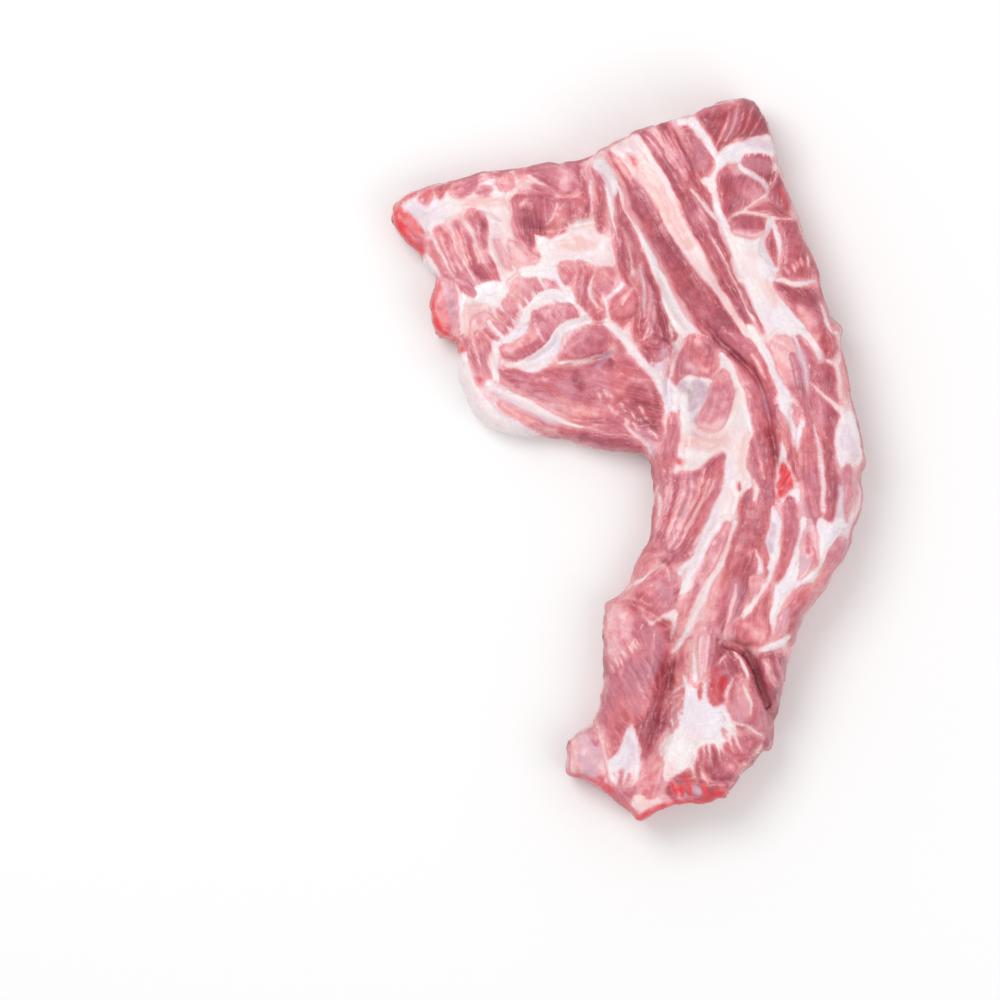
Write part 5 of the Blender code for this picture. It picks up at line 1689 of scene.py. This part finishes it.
    def stained(self, graph: Graph, skin: MeatSignals, colour: Socket, in_muscle: Socket) -> Socket:
        """Lay painted shade along the seams, gristle, blood and painted shade in the clefts over a colour.
        """
        # painted shade along the seams between muscles
        seam = graph.step(skin.crease, 0.0, self.seam_shade_width, self.seam_shade_strength, 0.0)
        colour = graph.blend(graph.times(seam, in_muscle), colour, self.deep)
        lilac = graph.times(skin.lilac, graph.step(skin.patches, 0.25, 0.7, 0.45, 0.95))
        colour = graph.blend(lilac, colour, self.gristle)
        bloody = graph.times(skin.red, graph.step(skin.patches, 0.3, 0.65, 0.6, 1.0))
        bloody = graph.times(bloody, graph.step(in_muscle, 0.0, 1.0, 0.6, 1.0))
        colour = graph.blend(bloody, colour, self.blood)
        # painted shade in the clefts
        dark = graph.times(skin.dark, graph.step(skin.patches, 0.3, 0.6, 0.65, 0.85))
        return graph.blend(dark, colour, self.deep)

    def material(self, fibres: FibreGrain, veins: Veins, film: WetFilm) -> bpy.types.Material:
        """Build the material.

        Args:
            fibres: the shared fibre lines.
            veins: the shared wandering lines.
            film: the shared wet film.

        Returns:
            The material, which reads the meat's mesh attributes.
        """
        material = bpy.data.materials.new("raw pork")
        material.use_nodes = True
        graph = Graph(material.node_tree)
        inputs = material.node_tree.nodes["Principled BSDF"].inputs
        skin = self.signals(graph, fibres)
        level = self.level(graph, skin)
        low = graph.minus(-0.9, graph.times(skin.bare, 0.9))
        high = graph.plus(0.8, graph.times(skin.bare, 0.4))
        in_muscle = graph.step(level, low, high)
        colour = graph.blend(in_muscle, self.fat_colour(graph, skin, veins, level),
                             self.muscle_colour(graph, skin, veins))
        graph.feed(inputs["Base Color"], self.stained(graph, skin, colour, in_muscle))
        wet = graph.use(film.tree, Place=skin.place, Wet=self.wet, Dry=self.dry)
        graph.feed(inputs["Roughness"], wet.outputs["Roughness"])
        height = graph.plus(graph.times(skin.lines, 0.08), graph.times(skin.bundles, 0.3))
        height = graph.plus(height, graph.times(skin.speckle, 0.25))
        height = graph.plus(height, graph.times(in_muscle, -0.12))
        graph.feed(inputs["Normal"], graph.bump(height, self.bump_strength, self.bump_distance))
        inputs["Specular IOR Level"].default_value = 0.5
        graph.feed(inputs["Coat Weight"], graph.step(skin.dark, 0.0, 0.8, 0.18, 0.05))
        inputs["Coat Roughness"].default_value = self.coat_roughness
        inputs["Subsurface Weight"].default_value = self.glow
        inputs["Subsurface Radius"].default_value = self.glow_radius
        inputs["Subsurface Scale"].default_value = self.glow_scale
        return material


@dataclass(frozen=True)
class BoneFinish:
    """Fresh sawn bone: a cream rim round a red, spongy core."""

    rim: tuple = linear(238, 205, 198)
    core: tuple = linear(186, 84, 84)
    cell: tuple = linear(142, 46, 54)
    cells_per_mm: float = 0.8
    cell_wall: float = 0.09
    scratches_per_mm: float = 2.2
    wet: float = 0.25
    dry: float = 0.5
    bump_strength: float = 0.5
    bump_distance: float = 0.0006
    glow: float = 0.08
    glow_radius: tuple = (1.0, 0.4, 0.3)
    glow_scale: float = 0.002

    def material(self, fibres: FibreGrain, veins: Veins, film: WetFilm) -> bpy.types.Material:
        """Build the material.

        Args:
            fibres: the shared fibre lines, here the scratches of the saw.
            veins: the shared wandering lines, here the web of the spongy core.
            film: the shared wet film.

        Returns:
            The material, which reads how far in from the rim each spot of a sawn end lies.
        """
        material = bpy.data.materials.new("sawn bone")
        material.use_nodes = True
        graph = Graph(material.node_tree)
        inputs = material.node_tree.nodes["Principled BSDF"].inputs
        inward, _, _ = graph.parts(graph.attribute("inward"))
        place = graph.place()
        web = graph.use(veins.tree, Place=place, Size=self.cells_per_mm, Width=self.cell_wall)
        web = web.outputs["Veins"]
        scratches = graph.use(fibres.tree, Fibre=place, Fineness=self.scratches_per_mm, Length=0.1)
        stain = graph.noise(place, 0.25, 3.0)
        spongy = graph.swing(inward, stain, 0.5)
        core = graph.blend(web, self.cell, self.core)
        core = graph.blend(graph.times(web, 0.45), core, self.rim)
        rim = graph.blend(graph.times(stain, 0.35), self.rim, self.core)
        graph.feed(inputs["Base Color"], graph.blend(graph.step(spongy, 0.35, 0.55), rim, core))
        wet = graph.use(film.tree, Place=place, Wet=self.wet, Dry=self.dry)
        graph.feed(inputs["Roughness"], wet.outputs["Roughness"])
        height = graph.plus(web, graph.times(scratches.outputs["Lines"], 0.4))
        graph.feed(inputs["Normal"], graph.bump(height, self.bump_strength, self.bump_distance))
        inputs["Subsurface Weight"].default_value = self.glow
        inputs["Subsurface Radius"].default_value = self.glow_radius
        inputs["Subsurface Scale"].default_value = self.glow_scale
        return material


@dataclass
class SawnBone:
    """One bone, with a hard rim round the sunken spongy core of each sawn end, in millimetres."""

    node: str
    ends: tuple
    rim: float = 2.4
    rim_slope: tuple = (0.7, 1.3)
    core_sink: float = 0.7
    core_roughness: tuple = (0.25, 1.6, 51.0)
    spacing: float = 1.3
    rounds: int = 6
    reach: float = 24.0
    facing: float = 0.6
    merge: float = 0.00002

    def build(self) -> bpy.types.Object:
        """Copy the bone's solid and shape its sawn ends.

        Returns:
            The bone, with how far in from the rim each vertex lies as a mesh attribute.
        """
        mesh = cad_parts[self.node].data.copy()
        mesh.materials.clear()
        mesh.name = f"{self.node}_sawn"
        edit = bmesh.new()
        edit.from_mesh(mesh)
        bmesh.ops.remove_doubles(edit, verts=edit.verts, dist=self.merge)
        inward = edit.verts.layers.float_vector.new("inward")
        for place, heading in self.ends:
            self.shape_end(edit, Vector((*place, 0.0)) * MM, Vector((*heading, 0.0)).normalized(), inward)
        edit.to_mesh(mesh)
        edit.free()
        piece = bpy.data.objects.new(f"{self.node}_sawn", mesh)
        bpy.context.scene.collection.objects.link(piece)
        return piece

    def shape_end(self, edit: bmesh.types.BMesh, place: Vector, heading: Vector,
                  inward: bmesh.types.BMLayerItem) -> None:
        """Refine one sawn end and sink its core behind a rim.

        Args:
            edit: the bone's mesh.
            place: where the end is in the plan, in metres.
            heading: the way the end faces.
            inward: the layer that keeps how far in a vertex lies.
        """
        flat = [face for face in edit.faces if self.faces_out(face, place, heading)]
        chosen = set(flat)
        rim = []
        for face in flat:
            for edge in face.edges:
                if any(other not in chosen for other in edge.link_faces):
                    rim.append([tuple(vertex.co) for vertex in edge.verts])
        if not rim:
            LOG.warning("%s: no flat end found", self.node)
            return
        rim = np.array(rim)
        for _ in range(self.rounds):
            flat = [face for face in edit.faces if self.faces_out(face, place, heading)]
            long = {edge for face in flat for edge in face.edges if edge.calc_length() > self.spacing * MM}
            if not long:
                break
            bmesh.ops.subdivide_edges(edit, edges=list(long), cuts=1)
            bmesh.ops.triangulate(edit, faces=[face for face in edit.faces if len(face.verts) > 3])
        flat = [face for face in edit.faces if self.faces_out(face, place, heading)]
        spots = list({vertex for face in flat for vertex in face.verts})
        points = np.array([tuple(vertex.co) for vertex in spots])
        starts, runs = rim[:, 0], rim[:, 1] - rim[:, 0]
        offsets = points[:, None, :] - starts[None, :, :]
        along = np.clip((offsets * runs).sum(axis=2) / (runs ** 2).sum(axis=1), 0.0, 1.0)
        gaps = np.linalg.norm(offsets - along[:, :, None] * runs, axis=2).min(axis=1) / MM
        height, size, seed = self.core_roughness
        low, high = self.rim_slope
        depths = self.core_sink + height * soft_noise(points / MM, size, seed)
        sinks = depths * ramp_up(gaps, low * self.rim, high * self.rim)
        for vertex, gap, sink in zip(spots, gaps, sinks):
            vertex[inward] = Vector((min(gap / (2.0 * self.rim), 1.0), 0.0, 0.0))
            vertex.co -= heading * float(sink) * MM

    def faces_out(self, face: bmesh.types.BMFace, place: Vector, heading: Vector) -> bool:
        """Whether a face belongs to the sawn end at a place."""
        centre = face.calc_center_median()
        centre.z = 0.0
        near = (centre - place).length < self.reach * MM
        return near and face.normal.dot(heading) > self.facing


@dataclass(frozen=True)
class Lamp:
    """A round area light: its place and diameter in metres, and its power in watts."""

    name: str
    place: tuple
    size: float
    power: float


@dataclass
class Studio:
    """A pale floor, soft light and the camera straight above, in metres."""

    centre: tuple = (-0.065, -0.020, 0.0)
    picture_width: float = 0.5
    picture_height: float = 0.03
    lens: float = 200.0
    sensor: float = 36.0
    view_distance: float = 20.0
    floor_size: float = 6.0
    floor_gap: float = 0.0002
    floor_colour: tuple = (0.86, 0.86, 0.86, 1.0)
    floor_roughness: float = 0.8
    sky: float = 0.72
    lamps: tuple = (Lamp("key", (-0.65, 0.6, 1.45), 0.9, 11.9), Lamp("fill", (0.9, -0.5, 1.2), 1.2, 5.0))

    def build_floor(self) -> bpy.types.Object:
        """Lay the floor just under the meat."""
        edit = bmesh.new()
        bmesh.ops.create_grid(edit, x_segments=8, y_segments=8, size=self.floor_size / 2)
        mesh = bpy.data.meshes.new("floor")
        edit.to_mesh(mesh)
        edit.free()
        floor = bpy.data.objects.new("floor", mesh)
        floor.location = (0.0, 0.0, -self.floor_gap)
        bpy.context.scene.collection.objects.link(floor)
        material = bpy.data.materials.new("pale floor")
        material.use_nodes = True
        inputs = material.node_tree.nodes["Principled BSDF"].inputs
        inputs["Base Color"].default_value = self.floor_colour
        inputs["Roughness"].default_value = self.floor_roughness
        mesh.materials.append(material)
        return floor

    def build_lights(self) -> None:
        """Hang a broad key light and a fill, under an even sky."""
        scene = bpy.context.scene
        world = bpy.data.worlds.new("soft room")
        world.use_nodes = True
        background = world.node_tree.nodes["Background"]
        background.inputs["Color"].default_value = (1.0, 1.0, 1.0, 1.0)
        background.inputs["Strength"].default_value = self.sky
        scene.world = world
        for lamp in self.lamps:
            light = bpy.data.lights.new(lamp.name, "AREA")
            light.shape = "DISK"
            light.size = lamp.size
            light.energy = lamp.power
            hung = bpy.data.objects.new(lamp.name, light)
            hung.location = lamp.place
            hung.rotation_euler = (-Vector(lamp.place)).to_track_quat("-Z", "Y").to_euler()
            scene.collection.objects.link(hung)
        scene.view_settings.view_transform = "Standard"

    def build_camera(self) -> bpy.types.Object:
        """Set the camera straight above, where the picture is its own width at its own height."""
        data = bpy.data.cameras.new("camera")
        data.lens = self.lens
        data.sensor_width = self.sensor
        data.clip_end = self.view_distance
        camera = bpy.data.objects.new("camera", data)
        height = self.picture_width * self.lens / self.sensor + self.picture_height
        camera.location = (self.centre[0], self.centre[1], height)
        bpy.context.scene.collection.objects.link(camera)
        bpy.context.scene.camera = camera
        return camera


def main() -> None:
    """Build the pieces in order and dress them."""
    logging.basicConfig(level=logging.INFO, format="%(name)s: %(message)s")
    studio = Studio()
    studio.build_floor()
    studio.build_lights()
    studio.build_camera()
    LOG.info("studio ready")

    fibres, veins, film = FibreGrain(), Veins(), WetFilm()
    strands = [*RibFlap().strands(), *BackboneStrip().strands(), *NeckEnd().strands()]
    meat = MeatBody(strands=strands).build()
    meat.data.materials.append(MeatFinish().material(fibres, veins, film))
    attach(meat, "root")
    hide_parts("meat")
    LOG.info("meat: %d strands on %d vertices", len(strands), len(meat.data.vertices))

    bone_material = BoneFinish().material(fibres, veins, film)
    for bone in (SawnBone("backbone", (((24, 171), (-0.3, 0.95)), ((30, -172), (-0.2, -0.98)))),
                 SawnBone("rib_upper", (((-111, 111), (-0.85, -0.5)),)),
                 SawnBone("rib_lower", (((-99, 75), (-1.0, -0.1)),))):
        piece = bone.build()
        piece.data.materials.append(bone_material)
        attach(piece, "root")
        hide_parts(bone.node)
        LOG.info("%s: %d vertices", bone.node, len(piece.data.vertices))

    bpy.context.view_layer.update()


if __name__ == "__main__":
    main()
